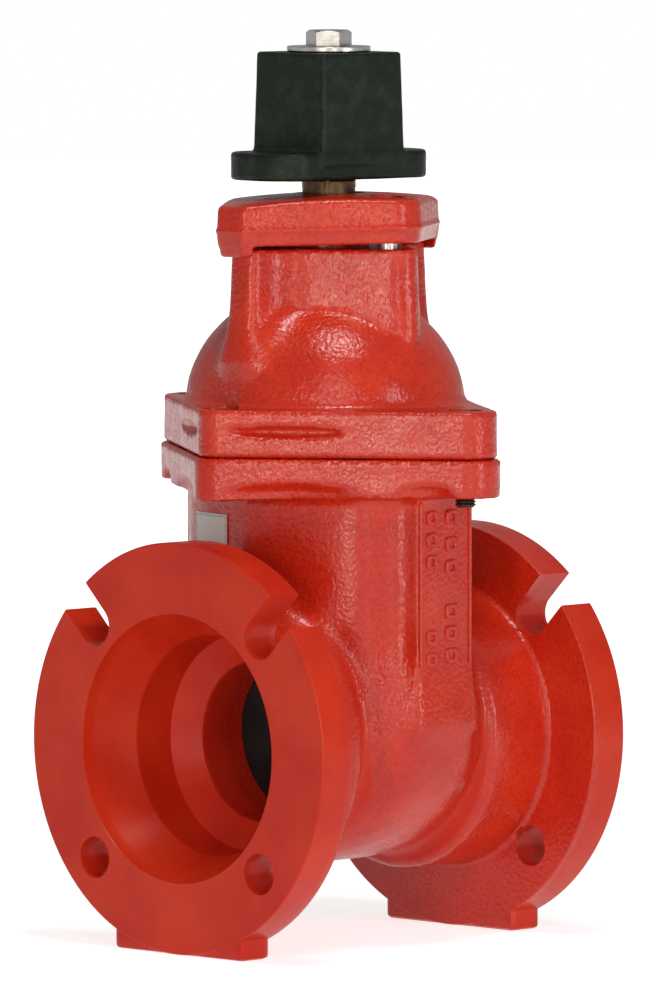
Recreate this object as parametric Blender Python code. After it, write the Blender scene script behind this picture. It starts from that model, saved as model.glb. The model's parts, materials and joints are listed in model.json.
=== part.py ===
"""Resilient-wedge gate valve with mechanical-joint sockets and a non-rising stem.

Lengths below are millimetres and are turned into metres where each mesh is made.
X is the pipe axis, Z the stem axis, and the origin is under the centre of the two feet.
Heights named *_Z are measured from the pipe axis, which stands PIPE_AXIS_HEIGHT above the feet.
"""

import math

import bmesh
import bpy
from mathutils import Matrix, Vector

MM = 0.001
GAP = 0.3  # clearance between neighbouring pieces
PIPE_AXIS_HEIGHT = 98.2

# Pipe ends
FACE_X = 102.8  # pipe axis crossing to an end face
END_FLANGE_R = 97.66
END_FLANGE_THICKNESS = 20.7
BOLT_CIRCLE_R = 78.6
BOLT_HOLE_R = 9.9
SLOT_REACH = 36.0  # how far each slot cutter runs out past the rim
SOCKET_MOUTH_R = 63.6
SOCKET_LIP_DEPTH = 7.5
SOCKET_THROAT_R = 52.5
SOCKET_THROAT_DEPTH = 25.0
SOCKET_R = 51.7
SOCKET_DEPTH = 47.0
SHOULDER_DEPTH = 55.5
WATERWAY_R = 38.1
BELL_R = 67.5
BELL_END_X = 44.0
BARREL_R = 58.0
FOOT_HALF_WIDTH = 43.0
FOOT_CORNER = 6.0
FOOT_ROOT_Z = -78.0
FOOT_SET_BACK = 0.8

# Body neck, drum and guide ribs
NECK_HALF_X = 56.0
NECK_HALF_Y = 67.0
OVAL_POWER_X = 4.0
OVAL_POWER_Y = 1.5
DRUM_RADII = (50.0, 78.4, 63.0)
DRUM_CENTRE_Z = 5.0
RIB_HALF_X = 19.0
RIB_Y = 78.4
RIB_CORNER = 2.5
RIB_PANEL_Z = 38.0  # lower end of the flat panel
RIB_BOTTOM_Z = 6.0
RIB_FOOT_HALF_X = 11.0
RIB_FOOT_Y = 75.0
WALL = 9.0

# Body and bonnet flanges
BODY_FLANGE_BOTTOM_Z = 119.0
PARTING_Z = 137.3
BONNET_FLANGE_TOP_Z = 160.5
LUG_X = 72.5  # bolt and lug centre on the X axis
LUG_X_R = 12.8
LUG_Y = 91.2  # bolt and lug centre on the Y axis
LUG_Y_R = 16.6
BONNET_INSET = 1.5
BONNET_BOLTS = ((-LUG_X, 0.0), (0.0, -LUG_Y), (LUG_X, 0.0), (0.0, LUG_Y))
BOLT_SHANK_R = 5.0
BOLT_HEAD_R = 8.0
BOLT_HEAD_HEIGHT = 9.8
BOLT_KEY = 8.0
BOLT_KEY_DEPTH = 5.4
BOLT_CHAMFER = 0.8
COUNTERBORE_R = 8.4
SPOT_FACE_TOP_Z = 178.0  # where the counterbores on the X axis run out of the dome
BONNET_BOLT_FLOOR_Z = 149.4
BONNET_BOLT_TIP_Z = 114.4  # the Y bolts stand out below the body flange
SIDE_BOLT_TIP_Z = 123.5  # the X bolts end in blind holes
BLIND_HOLE_ROOM = 1.2
GASKET_MID = (58.0, 80.0)
GASKET_WIDTH = 4.4
GASKET_DEPTH = 4.0

# Bonnet dome and neck
DOME_RADII = (66.6, 67.0, 59.3)
DOME_CENTRE_Z = 158.0
BONNET_HOLLOW_RADII = (50.0, 56.0, 46.0)
BONNET_HOLLOW_CENTRE_Z = 150.0
BONNET_NECK_TOP_Z = 235.3
BONNET_NECK_FOOT_Z = 172.0
NECK_TAPER = 0.06
TAB_END_X = 59.5
TAB_HALF_Y = 8.0
NECK_APEX_Y = 56.0
NECK_APEX_HALF_X = 6.0
THRUST_BORE_R = 19.6
THRUST_BORE_FLOOR_Z = 214.0

# Seal plate
PLATE_BOTTOM_Z = 238.3
PLATE_EAR_BOTTOM_Z = 233.6
PLATE_EDGE_TOP_Z = 255.6
PLATE_CROWN_Z = 261.0
PLATE_END_X = 68.0
PLATE_END_HALF_Y = 8.8
PLATE_APEX_Y = 56.6
PLATE_APEX_HALF_X = 6.0
PLATE_LIP_X = 61.0
PLATE_TOP_EDGE = 1.2
PLATE_BLUNT = 2.0
PLATE_RIM = 1.5
PLATE_INNER_SHARE = 0.86
PLATE_WALL_STEPS = 4
SPIGOT_BOTTOM_Z = 228.0
SPIGOT_R = 19.3
PLATE_GROOVE_Z = (231.0, 234.2)
PLATE_GROOVE_R = 17.0
PLATE_O_RING = (18.3, 1.0)  # major and minor radius
SEAL_BOLT_Y = 39.5
SEAL_BOLT_FLOOR_Z = 244.0
SEAL_BOLT_TIP_Z = 214.0
WIPER_FLOOR_Z = 256.0
WIPER_R = 17.0

# Stem and its thread (left-handed, so that turning counter-clockwise lifts the wedge)
STEM_R = 12.7
STEM_BORE_R = 13.2
STEM_BOTTOM_Z = 40.0
THREAD_LEAD = 8.0
THREAD_CORE_R = 9.6
THREAD_DEPTH = 3.0
THREAD_TURNS = 15
THREAD_STEPS = 16
THREAD_HAND = -1
THREAD_ROOT = (0.0, 0.38)  # share of the lead taken by the root flat
THREAD_CREST = (0.50, 0.88)  # share of the lead taken by the crest flat
TAP_CLEARANCE = 0.45
COLLAR_R = 18.5
COLLAR_BOTTOM_Z = 217.0
COLLAR_TOP_Z = 225.0
STEM_SHOULDER_Z = 267.4
STEM_SQUARE_HALF = 9.5
STEM_TOP_Z = 325.0
O_RING_HALF = 1.2
O_RING_GROOVE_DEPTH = 2.3
O_RING_LEVELS = (199.0, 243.0, 250.0)  # lower, then the two in the seal plate

# Operating nut, washer and bolt
OPERATING_NUT_YAW = -4.6
NUT_BOTTOM_Z = 267.7
NUT_BASE_TOP_Z = 281.0
NUT_TOP_Z = 328.3
NUT_SQUARE_BASE = 50.8
NUT_SQUARE_TOP = 49.2
NUT_EAR_X = 51.4
NUT_EAR_HALF_Y = 12.0
NUT_SHOULDER_X = 39.7
WASHER_R = 20.0
WASHER_THICKNESS = 2.4
HEX_ACROSS_FLATS = 19.0
HEX_HEIGHT = 7.4
NUT_BOLT_R = 6.0
NUT_BOLT_TIP_Z = 302.0
NUT_BOLT_YAW = 12.0

# Wedge
WEDGE_SLOPE = math.tan(math.radians(4.0))
POCKET_HALF_X = 21.0  # half width of the body's wedge pocket at the pipe axis
POCKET_R = 51.0
POCKET_TOP_Z = 60.0
RUBBER_HALF_X = 20.7
RUBBER_R = 46.2
RUBBER_TOP_Z = 36.0
CORE_HALF_X = 16.4
CORE_R = 42.0
CORE_TOP_Z = 42.0
STEM_PASSAGE_R = 14.2
HUB_HALF_X = 18.5
HUB_HALF_Y = 27.0
HUB_BOTTOM_Z = 30.0
HUB_TOP_Z = 62.0
RUBBER_SPACE_TOP_Z = 50.0  # the cutters for the wedge end above the rubber here
NUT_SLOT_Z = (44.0, 56.0)
NUT_WING_Y = 20.0
NUT_WAIST_Y = 15.6
NUT_HALF_X = 17.0
LUG_HALF_X = 5.2
LUG_END_Y = 66.5
LUG_Z = (13.0, 40.0)
CHANNEL_HALF_X = 8.0
CHANNEL_END_Y = 70.0
CHANNEL_BOTTOM_Z = 2.0

# Label
LABEL_Z = (92.0, 108.2)
LABEL_Y = (14.0, 42.0)
LABEL_THICKNESS = 0.4

ROUND_STEPS = 24
BIG_ROUND_STEPS = 48
OVAL_STEPS = 36
SMALL_ROUND_STEPS = 16
LUG_STEPS = 3


# Materials


def material(name, colour, roughness, metallic=0.0):
    made = bpy.data.materials.new(name)
    made.use_nodes = True
    shader = made.node_tree.nodes["Principled BSDF"]
    shader.inputs["Base Color"].default_value = (*colour, 1.0)
    shader.inputs["Roughness"].default_value = roughness
    shader.inputs["Metallic"].default_value = metallic
    return made


def make_materials():
    return {
        "red_epoxy": material("red_epoxy", (0.62, 0.035, 0.018), 0.32),
        "black_iron": material("black_iron", (0.02, 0.02, 0.02), 0.55),
        "stem_bronze": material("stem_bronze", (0.20, 0.14, 0.08), 0.42, 1.0),
        "zinc_steel": material("zinc_steel", (0.55, 0.54, 0.50), 0.35, 1.0),
        "black_rubber": material("black_rubber", (0.012, 0.012, 0.012), 0.7),
        "white_plastic": material("white_plastic", (0.78, 0.78, 0.74), 0.45),
        "label_white": material("label_white", (0.80, 0.82, 0.80), 0.5),
    }


# Mesh tools


def finish_object(name, mesh_builder, look, sharp_degrees=40.0):
    bmesh.ops.remove_doubles(mesh_builder, verts=mesh_builder.verts, dist=1e-6)
    bmesh.ops.recalc_face_normals(mesh_builder, faces=mesh_builder.faces)
    mesh = bpy.data.meshes.new(name)
    mesh_builder.to_mesh(mesh)
    mesh_builder.free()
    mesh.shade_smooth()
    mesh.set_sharp_from_angle(angle=math.radians(sharp_degrees))
    made = bpy.data.objects.new(name, mesh)
    if look is not None:
        made.data.materials.append(look)
    bpy.context.scene.collection.objects.link(made)
    return made


def in_metres(point):
    x, y, z = point
    return Vector((x * MM, y * MM, (z + PIPE_AXIS_HEIGHT) * MM))


def loft(name, rings, look=None, sharp_degrees=40.0):
    """A closed body through rings of equal point counts, with a flat cap on the first and last ring."""
    builder = bmesh.new()
    rows = [[builder.verts.new(in_metres(point)) for point in ring] for ring in rings]
    count = len(rows[0])
    for lower, upper in zip(rows, rows[1:]):
        for i in range(count):
            j = (i + 1) % count
            builder.faces.new((lower[i], lower[j], upper[j], upper[i]))
    builder.faces.new(list(reversed(rows[0])))
    builder.faces.new(rows[-1])
    return finish_object(name, builder, look, sharp_degrees)


def turned(name, profile, look=None, along_x=False, steps=ROUND_STEPS, ring=False):
    """A turned body. profile lists (position along the axis, radius); a ring's profile is a closed loop."""
    builder = bmesh.new()
    columns = []
    for i in range(steps):
        angle = 2 * math.pi * i / steps
        column = []
        for along, radius in profile:
            across = radius * math.cos(angle)
            third = radius * math.sin(angle)
            point = (along, across, third) if along_x else (across, third, along)
            column.append(builder.verts.new(in_metres(point)))
        columns.append(column)
    count = len(profile)
    for i in range(steps):
        this, following = columns[i], columns[(i + 1) % steps]
        for j in range(count if ring else count - 1):
            k = (j + 1) % count
            builder.faces.new((this[j], following[j], following[k], this[k]))
    if not ring:
        builder.faces.new([column[0] for column in columns])
        builder.faces.new([column[-1] for column in reversed(columns)])
    return finish_object(name, builder, look)


def block(name, low, high, look=None):
    x0, y0, z0 = low
    x1, y1, z1 = high
    outline = ((x0, y0), (x1, y0), (x1, y1), (x0, y1))
    return prism(name, outline, z0, z1, look)


def prism(name, outline, z0, z1, look=None, edge=0.0):
    """An upright prism; edge chamfers its two rims."""
    rings = [[(x, y, z0) for x, y in outline], [(x, y, z1) for x, y in outline]]
    if edge:
        small = shrunk(outline, edge)
        rings = [
            [(x, y, z0) for x, y in small],
            [(x, y, z0 + edge) for x, y in outline],
            [(x, y, z1 - edge) for x, y in outline],
            [(x, y, z1) for x, y in small],
        ]
    return loft(name, rings, look)


def shrunk(outline, inset):
    """An outline moved inwards by inset along the mean of each corner's two edge normals."""
    result = []
    count = len(outline)
    for i, here in enumerate(outline):
        before = Vector(outline[i - 1])
        after = Vector(outline[(i + 1) % count])
        here = Vector(here)
        first = (here - before).normalized()
        second = (after - here).normalized()
        normal = Vector((first.y + second.y, -first.x - second.x))
        normal.normalize()
        cosine = max(normal.dot(Vector((first.y, -first.x))), 0.5)
        result.append(tuple(here - normal * (inset / cosine)))
    return result


def rounded(corners, radius, steps=4):
    """A polygon, counter-clockwise, with every convex corner rounded to radius."""
    result = []
    count = len(corners)
    for i, corner in enumerate(corners):
        here = Vector(corner)
        back = (Vector(corners[i - 1]) - here).normalized()
        ahead = (Vector(corners[(i + 1) % count]) - here).normalized()
        half = math.acos(max(-1.0, min(1.0, back.dot(ahead)))) / 2
        reach = radius / math.tan(half)
        start = here + back * reach
        centre = here + (back + ahead).normalized() * (radius / math.sin(half))
        sweep = math.pi - 2 * half
        turn = -1 if back.x * ahead.y - back.y * ahead.x > 0 else 1
        for j in range(steps + 1):
            arm = start - centre
            arm.rotate(Matrix.Rotation(turn * sweep * j / steps, 2))
            result.append(tuple(centre + arm))
    return result


def oval(half_x, half_y, z, power_x=OVAL_POWER_X, power_y=OVAL_POWER_Y):
    """One ring of the superellipse |x/half_x|^power_x + |y/half_y|^power_y = 1."""
    ring = []
    for i in range(OVAL_STEPS):
        angle = 2 * math.pi * (i + 0.5) / OVAL_STEPS
        cosine, sine = math.cos(angle), math.sin(angle)
        # the angle is only a parameter: the two powers keep every point on the curve
        x = half_x * math.copysign(abs(cosine) ** (2 / power_x), cosine)
        y = half_y * math.copysign(abs(sine) ** (2 / power_y), sine)
        ring.append((x, y, z))
    return ring


def ellipse(half_x, half_y, z):
    return oval(half_x, half_y, z, 2.0, 2.0)


def as_helper(piece):
    piece.hide_render = True
    piece.display_type = "WIRE"
    return piece


def combine(target, others, operation):
    for other in others:
        as_helper(other)
        change = target.modifiers.new(f"{operation.lower()}_{other.name}", "BOOLEAN")
        change.operation = operation
        change.solver = "EXACT"
        change.object = other


def add(target, *others):
    combine(target, others, "UNION")


def cut(target, *others):
    combine(target, others, "DIFFERENCE")


# Valve body


def end_barrel():
    """Both end flanges and bells, turned about the pipe axis."""
    back = FACE_X - END_FLANGE_THICKNESS
    rim = END_FLANGE_R
    half = (
        (FACE_X, rim - 1.0),
        (FACE_X - 1.0, rim),
        (back + 1.2, rim),
        (back, rim - 1.2),
        (back, BELL_R + 3.0),
        (back - 0.9, BELL_R + 0.9),
        (back - 3.0, BELL_R),
        (BELL_END_X + 3.0, BELL_R),
        (BELL_END_X + 0.8, BELL_R - 1.0),
        (BELL_END_X - 1.5, BELL_R - 4.5),
        (BELL_END_X - 8.0, BARREL_R + 1.2),
        (BELL_END_X - 14.0, BARREL_R),
    )
    left = [(-x, r) for x, r in half]
    right = list(reversed(half))
    return turned("end_barrel", left + right, along_x=True, steps=BIG_ROUND_STEPS)


def drum():
    """The rounded chamber around the wedge, an ellipsoid up to its widest level."""
    rx, ry, rz = DRUM_RADII
    rings = []
    levels = 7
    for i in range(levels + 1):
        tilt = math.radians(-84.0) * (1 - i / levels)
        share = math.cos(tilt)
        rings.append(ellipse(rx * share, ry * share, DRUM_CENTRE_Z + rz * math.sin(tilt)))
    rings.append(ellipse(rx * 0.97, ry * 0.985, DRUM_CENTRE_Z + 16.0))
    rings.append(ellipse(rx * 0.88, ry * 0.84, DRUM_CENTRE_Z + 40.0))
    return loft("drum", rings)


def body_neck():
    return loft(
        "body_neck",
        [
            oval(NECK_HALF_X - 1.0, NECK_HALF_Y - 1.0, -8.0),
            oval(NECK_HALF_X, NECK_HALF_Y, BODY_FLANGE_BOTTOM_Z - 6.0),
            oval(NECK_HALF_X + 1.4, NECK_HALF_Y + 1.4, BODY_FLANGE_BOTTOM_Z - 2.0),
            oval(NECK_HALF_X + 4.0, NECK_HALF_Y + 4.0, BODY_FLANGE_BOTTOM_Z + 4.0),
        ],
    )


def guide_ribs():
    """The upright ribs on +Y and -Y that hold the wedge's guide channels; they run out into the drum."""
    levels = (
        (RIB_FOOT_HALF_X, RIB_FOOT_Y, RIB_BOTTOM_Z),
        (RIB_HALF_X, RIB_Y, RIB_PANEL_Z),
        (RIB_HALF_X, RIB_Y, BODY_FLANGE_BOTTOM_Z + 5.0),
    )
    rings = []
    for half_x, half_y, z in levels:
        corners = ((half_x, -half_y), (half_x, half_y), (-half_x, half_y), (-half_x, -half_y))
        rings.append([(x, y, z) for x, y in rounded(corners, RIB_CORNER, 2)])
    return loft("guide_ribs", rings)


def flange_outline(inset=0.0):
    """The body and bonnet flanges: a rhombus drawn tight round a bolt lug at each end of both axes."""
    lean = math.atan2(LUG_Y, LUG_X)
    tangent = math.acos((LUG_Y_R - LUG_X_R) / math.hypot(LUG_X, LUG_Y)) - lean
    steps = 2 * LUG_STEPS + 1
    quarter = []
    for i in range(LUG_STEPS + 1):
        angle = tangent * (2 * i + 1) / steps
        radius = LUG_X_R - inset
        quarter.append((LUG_X + radius * math.cos(angle), radius * math.sin(angle)))
    for i in reversed(range(LUG_STEPS + 1)):
        angle = math.pi / 2 - (math.pi / 2 - tangent) * (2 * i + 1) / steps
        radius = LUG_Y_R - inset
        quarter.append((radius * math.cos(angle), LUG_Y + radius * math.sin(angle)))
    return mirrored_outline(quarter)


def feet():
    """The flat pads under both end flanges."""
    made = []
    half = FOOT_HALF_WIDTH
    bottom = -PIPE_AXIS_HEIGHT
    for side in (-1, 1):
        inner = FACE_X - END_FLANGE_THICKNESS + FOOT_SET_BACK
        outer = FACE_X - FOOT_SET_BACK
        profile = (
            (-half, FOOT_ROOT_Z),
            (-half, bottom + FOOT_CORNER),
            (-half + 1.8, bottom + 1.8),
            (-half + FOOT_CORNER, bottom),
            (half - FOOT_CORNER, bottom),
            (half - 1.8, bottom + 1.8),
            (half, bottom + FOOT_CORNER),
            (half, FOOT_ROOT_Z),
        )
        rings = [[(side * x, y, z) for y, z in profile] for x in (inner, outer)]
        made.append(loft(f"foot_{'inlet' if side < 0 else 'outlet'}", rings))
    return made


def bore_cutter():
    """Both sockets and the waterway, turned about the pipe axis."""
    mouth = FACE_X + 2.0
    half = (
        (mouth, SOCKET_MOUTH_R),
        (FACE_X - SOCKET_LIP_DEPTH, SOCKET_MOUTH_R - 0.6),
        (FACE_X - SOCKET_THROAT_DEPTH, SOCKET_THROAT_R),
        (FACE_X - SOCKET_DEPTH, SOCKET_R),
        (FACE_X - SHOULDER_DEPTH, WATERWAY_R + 0.4),
        (FACE_X - SHOULDER_DEPTH - 3.0, WATERWAY_R),
    )
    left = [(-x, r) for x, r in half]
    right = list(reversed(half))
    return turned("bore_cutter", left + right, along_x=True, steps=BIG_ROUND_STEPS)


def end_bolt_cutters():
    """Two open slots above and two round holes below, on each end flange."""
    made = []
    middle = FACE_X - END_FLANGE_THICKNESS / 2
    reach = END_FLANGE_THICKNESS / 2 + 0.9
    leg = BOLT_CIRCLE_R * math.sqrt(0.5)
    for side in (-1, 1):
        for y_sign in (-1, 1):
            outline = []
            for i in range(9):
                angle = math.pi * (i / 8) + math.pi / 2
                outline.append((BOLT_HOLE_R * math.cos(angle), BOLT_HOLE_R * math.sin(angle)))
            outline += [(SLOT_REACH, -BOLT_HOLE_R), (SLOT_REACH, BOLT_HOLE_R)]
            turn = math.radians(45.0 if y_sign > 0 else 135.0)
            placed = []
            for along, across in outline:
                y = along * math.cos(turn) - across * math.sin(turn) + y_sign * leg
                z = along * math.sin(turn) + across * math.cos(turn) + leg
                placed.append((y, z))
            rings = [
                [(side * middle + shift, y, z) for y, z in placed] for shift in (-reach, reach)
            ]
            made.append(loft(f"slot_cutter_{side}_{y_sign}", rings))
            round_hole = turned(
                f"hole_cutter_{side}_{y_sign}",
                ((side * middle - reach, BOLT_HOLE_R), (side * middle + reach, BOLT_HOLE_R)),
                along_x=True,
            )
            round_hole.location = (0.0, y_sign * leg * MM, -leg * MM)
            made.append(round_hole)
    return made


def wedge_profile(radius, top):
    """The wedge's outline across the pipe: a half round below, straight sides up to top."""
    steps = 20
    arc = []
    for i in range(steps + 1):
        angle = math.pi + math.pi * i / steps
        arc.append((radius * math.cos(angle), radius * math.sin(angle)))
    return arc + [(radius, top), (-radius, top)]


def wedge_slab(name, half_x, radius, top, look=None):
    """A slab across the pipe whose two faces lean outwards towards the top by WEDGE_SLOPE."""
    profile = wedge_profile(radius, top)
    rings = []
    for side in (-1, 1):
        rings.append([(side * (half_x + z * WEDGE_SLOPE), y, z) for y, z in profile])
    return loft(name, rings, look)


def chamber_cutters():
    pocket = wedge_slab("wedge_pocket", POCKET_HALF_X, POCKET_R, POCKET_TOP_Z)
    inner_x = NECK_HALF_X - WALL
    inner_y = NECK_HALF_Y - WALL
    hollow = loft(
        "neck_hollow",
        [
            oval(inner_x - 6.0, inner_y - 6.0, POCKET_TOP_Z - 8.0),
            oval(inner_x, inner_y, POCKET_TOP_Z),
            oval(inner_x, inner_y, PARTING_Z + 5.0),
        ],
    )
    channel = block(
        "guide_channel",
        (-CHANNEL_HALF_X, -CHANNEL_END_Y, CHANNEL_BOTTOM_Z),
        (CHANNEL_HALF_X, CHANNEL_END_Y, PARTING_Z + 6.0),
    )
    return [pocket, hollow, channel]


def gasket_ring(name, half_width, low, high, look=None):
    """An oval ring with an upright rectangular section."""
    mid_x, mid_y = GASKET_MID
    inner = (mid_x - half_width, mid_y - half_width)
    outer = (mid_x + half_width, mid_y + half_width)
    builder = bmesh.new()
    rows = []
    for (half_x, half_y), z in ((inner, low), (outer, low), (outer, high), (inner, high)):
        ring = ellipse(half_x, half_y, z)
        rows.append([builder.verts.new(in_metres(point)) for point in ring])
    for row, following in zip(rows, rows[1:] + rows[:1]):
        for i in range(OVAL_STEPS):
            j = (i + 1) % OVAL_STEPS
            builder.faces.new((row[i], row[j], following[j], following[i]))
    return finish_object(name, builder, look)


def upright_hole(name, at, radius, low, high, steps=SMALL_ROUND_STEPS):
    made = turned(name, ((low, radius), (high, radius)), steps=steps)
    made.location = (at[0] * MM, at[1] * MM, 0.0)
    return made


def make_body(looks):
    body = end_barrel()
    body.name = "valve_body"
    body.data.materials.append(looks["red_epoxy"])
    flange = prism(
        "body_flange", flange_outline(), BODY_FLANGE_BOTTOM_Z, PARTING_Z, edge=1.0
    )
    add(body, drum(), body_neck(), guide_ribs(), flange, *feet())
    cut(body, bore_cutter(), *end_bolt_cutters())
    cut(body, *chamber_cutters())
    groove_floor = PARTING_Z - GASKET_DEPTH
    groove = gasket_ring("gasket_groove", GASKET_WIDTH / 2 + GAP, groove_floor, PARTING_Z + 2.0)
    cut(body, groove)
    for i, at in enumerate(BONNET_BOLTS):
        low = SIDE_BOLT_TIP_Z - BLIND_HOLE_ROOM if at[0] else BODY_FLANGE_BOTTOM_Z - 2.0
        tapping = BOLT_SHANK_R + GAP
        cut(body, upright_hole(f"body_tapping_{i}", at, tapping, low, PARTING_Z + 2.0))
    return body


# Bonnet


def bonnet_neck_outline():
    """A diamond with blunt corners on the Y axis and a narrower tab on each X end."""
    end, half = TAB_END_X, TAB_HALF_Y
    wide, apex = NECK_APEX_HALF_X, NECK_APEX_Y
    quarter = [
        (end, half - 4.0),
        (end - 1.7, half - 1.2),
        (end - 4.5, half),
        (end - 15.0, half + 0.6),
        (end - 20.0, half + 2.2),
        (end - 23.0, half + 5.6),
        (wide + 1.6, apex - 3.4),
        (wide - 0.4, apex - 0.8),
        (wide - 2.4, apex),
    ]
    return mirrored_outline(quarter)


def mirrored_outline(quarter):
    """A whole outline, counter-clockwise, from its points in the +X +Y quarter."""
    upper = quarter + [(-x, y) for x, y in reversed(quarter)]
    return upper + [(-x, -y) for x, y in upper]


def bonnet_neck():
    outline = bonnet_neck_outline()
    top, foot = BONNET_NECK_TOP_Z, BONNET_NECK_FOOT_Z
    edge = 1.2
    rings = []
    for z, inset in ((foot, 0.0), (top - edge, 0.0), (top, edge)):
        grown = 1.0 - inset / NECK_APEX_Y + NECK_TAPER * (top - z) / (top - foot)
        rings.append([(x * grown, y * grown, z) for x, y in outline])
    return loft("bonnet_neck", rings)


def ellipsoid_cap(name, radii, centre_z, start_z, levels):
    """The upper half of an ellipsoid, standing on an upright oval wall that starts at start_z."""
    rx, ry, rz = radii
    rings = [ellipse(rx, ry, start_z)]
    for i in range(levels + 1):
        tilt = math.radians(85.0) * i / levels
        share = math.cos(tilt)
        rings.append(ellipse(rx * share, ry * share, centre_z + rz * math.sin(tilt)))
    return loft(name, rings)


def bonnet_dome():
    return ellipsoid_cap(
        "bonnet_dome", DOME_RADII, DOME_CENTRE_Z, BONNET_FLANGE_TOP_Z - 12.0, 8
    )


def bonnet_hollow():
    return ellipsoid_cap(
        "bonnet_hollow", BONNET_HOLLOW_RADII, BONNET_HOLLOW_CENTRE_Z, PARTING_Z - 2.0, 6
    )


def make_bonnet(looks):
    outline = flange_outline(BONNET_INSET)
    bonnet = prism(
        "bonnet", outline, PARTING_Z + GAP, BONNET_FLANGE_TOP_Z, looks["red_epoxy"], edge=1.2
    )
    add(bonnet, bonnet_dome(), bonnet_neck())
    cut(bonnet, bonnet_hollow())
    cut(bonnet, upright_hole("stem_bore", (0, 0), STEM_BORE_R, 170.0, 240.0, ROUND_STEPS))
    thrust_bore = upright_hole(
        "thrust_bore", (0, 0), THRUST_BORE_R, THRUST_BORE_FLOOR_Z, 240.0, ROUND_STEPS
    )
    cut(bonnet, thrust_bore)
    for i, at in enumerate(BONNET_BOLTS):
        floor = BONNET_BOLT_FLOOR_Z
        clearance = BOLT_SHANK_R + 2 * GAP
        cut(bonnet, upright_hole(f"bonnet_clearance_{i}", at, clearance, 130.0, floor + 2.0))
        cut(bonnet, upright_hole(f"bonnet_counterbore_{i}", at, COUNTERBORE_R, floor, SPOT_FACE_TOP_Z))
    for i, side in enumerate((-1, 1)):
        at = (0.0, side * SEAL_BOLT_Y)
        low = SEAL_BOLT_TIP_Z - 3.0
        cut(bonnet, upright_hole(f"seal_tapping_{i}", at, BOLT_SHANK_R + GAP, low, 240.0))
    return bonnet


# Seal plate


def plate_outline(inset=0.0):
    """A long rhombus with blunt corners; its walls are divided so that the top can curve along them."""
    blunt = PLATE_BLUNT
    end = Vector((PLATE_END_X - blunt, PLATE_END_HALF_Y + blunt * 0.3))
    apex = Vector((PLATE_APEX_HALF_X + blunt * 0.6, PLATE_APEX_Y - blunt))
    wall = [tuple(end.lerp(apex, i / PLATE_WALL_STEPS)) for i in range(PLATE_WALL_STEPS + 1)]
    quarter = [(PLATE_END_X, PLATE_END_HALF_Y - blunt)] + wall
    quarter.append((PLATE_APEX_HALF_X - blunt * 0.6, PLATE_APEX_Y))
    outline = mirrored_outline(quarter)
    return shrunk(outline, inset) if inset else outline


def plate_top(x):
    drop = PLATE_CROWN_Z - PLATE_EDGE_TOP_Z
    return PLATE_CROWN_Z - drop * abs(x / PLATE_END_X) ** 3


def make_seal_plate(looks):
    full = plate_outline()
    small = plate_outline(PLATE_RIM)
    inner = [(x * PLATE_INNER_SHARE, y * PLATE_INNER_SHARE) for x, y in full]
    plate = loft(
        "seal_plate",
        [
            [(x, y, PLATE_BOTTOM_Z) for x, y in small],
            [(x, y, PLATE_BOTTOM_Z + PLATE_RIM) for x, y in full],
            [(x, y, plate_top(x) - PLATE_TOP_EDGE) for x, y in full],
            [(x, y, plate_top(x) - 0.4) for x, y in small],
            [(x, y, plate_top(x)) for x, y in inner],
        ],
        looks["red_epoxy"],
    )
    for side in (-1, 1):
        ends = sorted((side * PLATE_LIP_X, side * (PLATE_END_X - 0.6)))
        low = (ends[0], -PLATE_END_HALF_Y + 1.0, PLATE_EAR_BOTTOM_Z)
        high = (ends[1], PLATE_END_HALF_Y - 1.0, PLATE_BOTTOM_Z + 4.0)
        add(plate, block(f"ear_lip_{side}", low, high))
    spigot = turned("spigot", ((SPIGOT_BOTTOM_Z, SPIGOT_R), (PLATE_BOTTOM_Z + 3.0, SPIGOT_R)))
    add(plate, spigot)
    low, high = PLATE_GROOVE_Z
    groove = turned(
        "spigot_groove",
        (
            (low, PLATE_GROOVE_R),
            (low, SPIGOT_R + 2.0),
            (high, SPIGOT_R + 2.0),
            (high, PLATE_GROOVE_R),
        ),
        ring=True,
    )
    cut(plate, groove)
    cut(plate, upright_hole("plate_bore", (0, 0), STEM_BORE_R, 220.0, 270.0, ROUND_STEPS))
    cut(plate, upright_hole("wiper_seat", (0, 0), WIPER_R + GAP, WIPER_FLOOR_Z, 270.0, ROUND_STEPS))
    for i, side in enumerate((-1, 1)):
        at = (0.0, side * SEAL_BOLT_Y)
        clearance = BOLT_SHANK_R + 2 * GAP
        floor = SEAL_BOLT_FLOOR_Z
        cut(plate, upright_hole(f"plate_clearance_{i}", at, clearance, 230.0, 270.0))
        cut(plate, upright_hole(f"plate_counterbore_{i}", at, COUNTERBORE_R, floor, 270.0))
    return plate


# Thread


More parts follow.
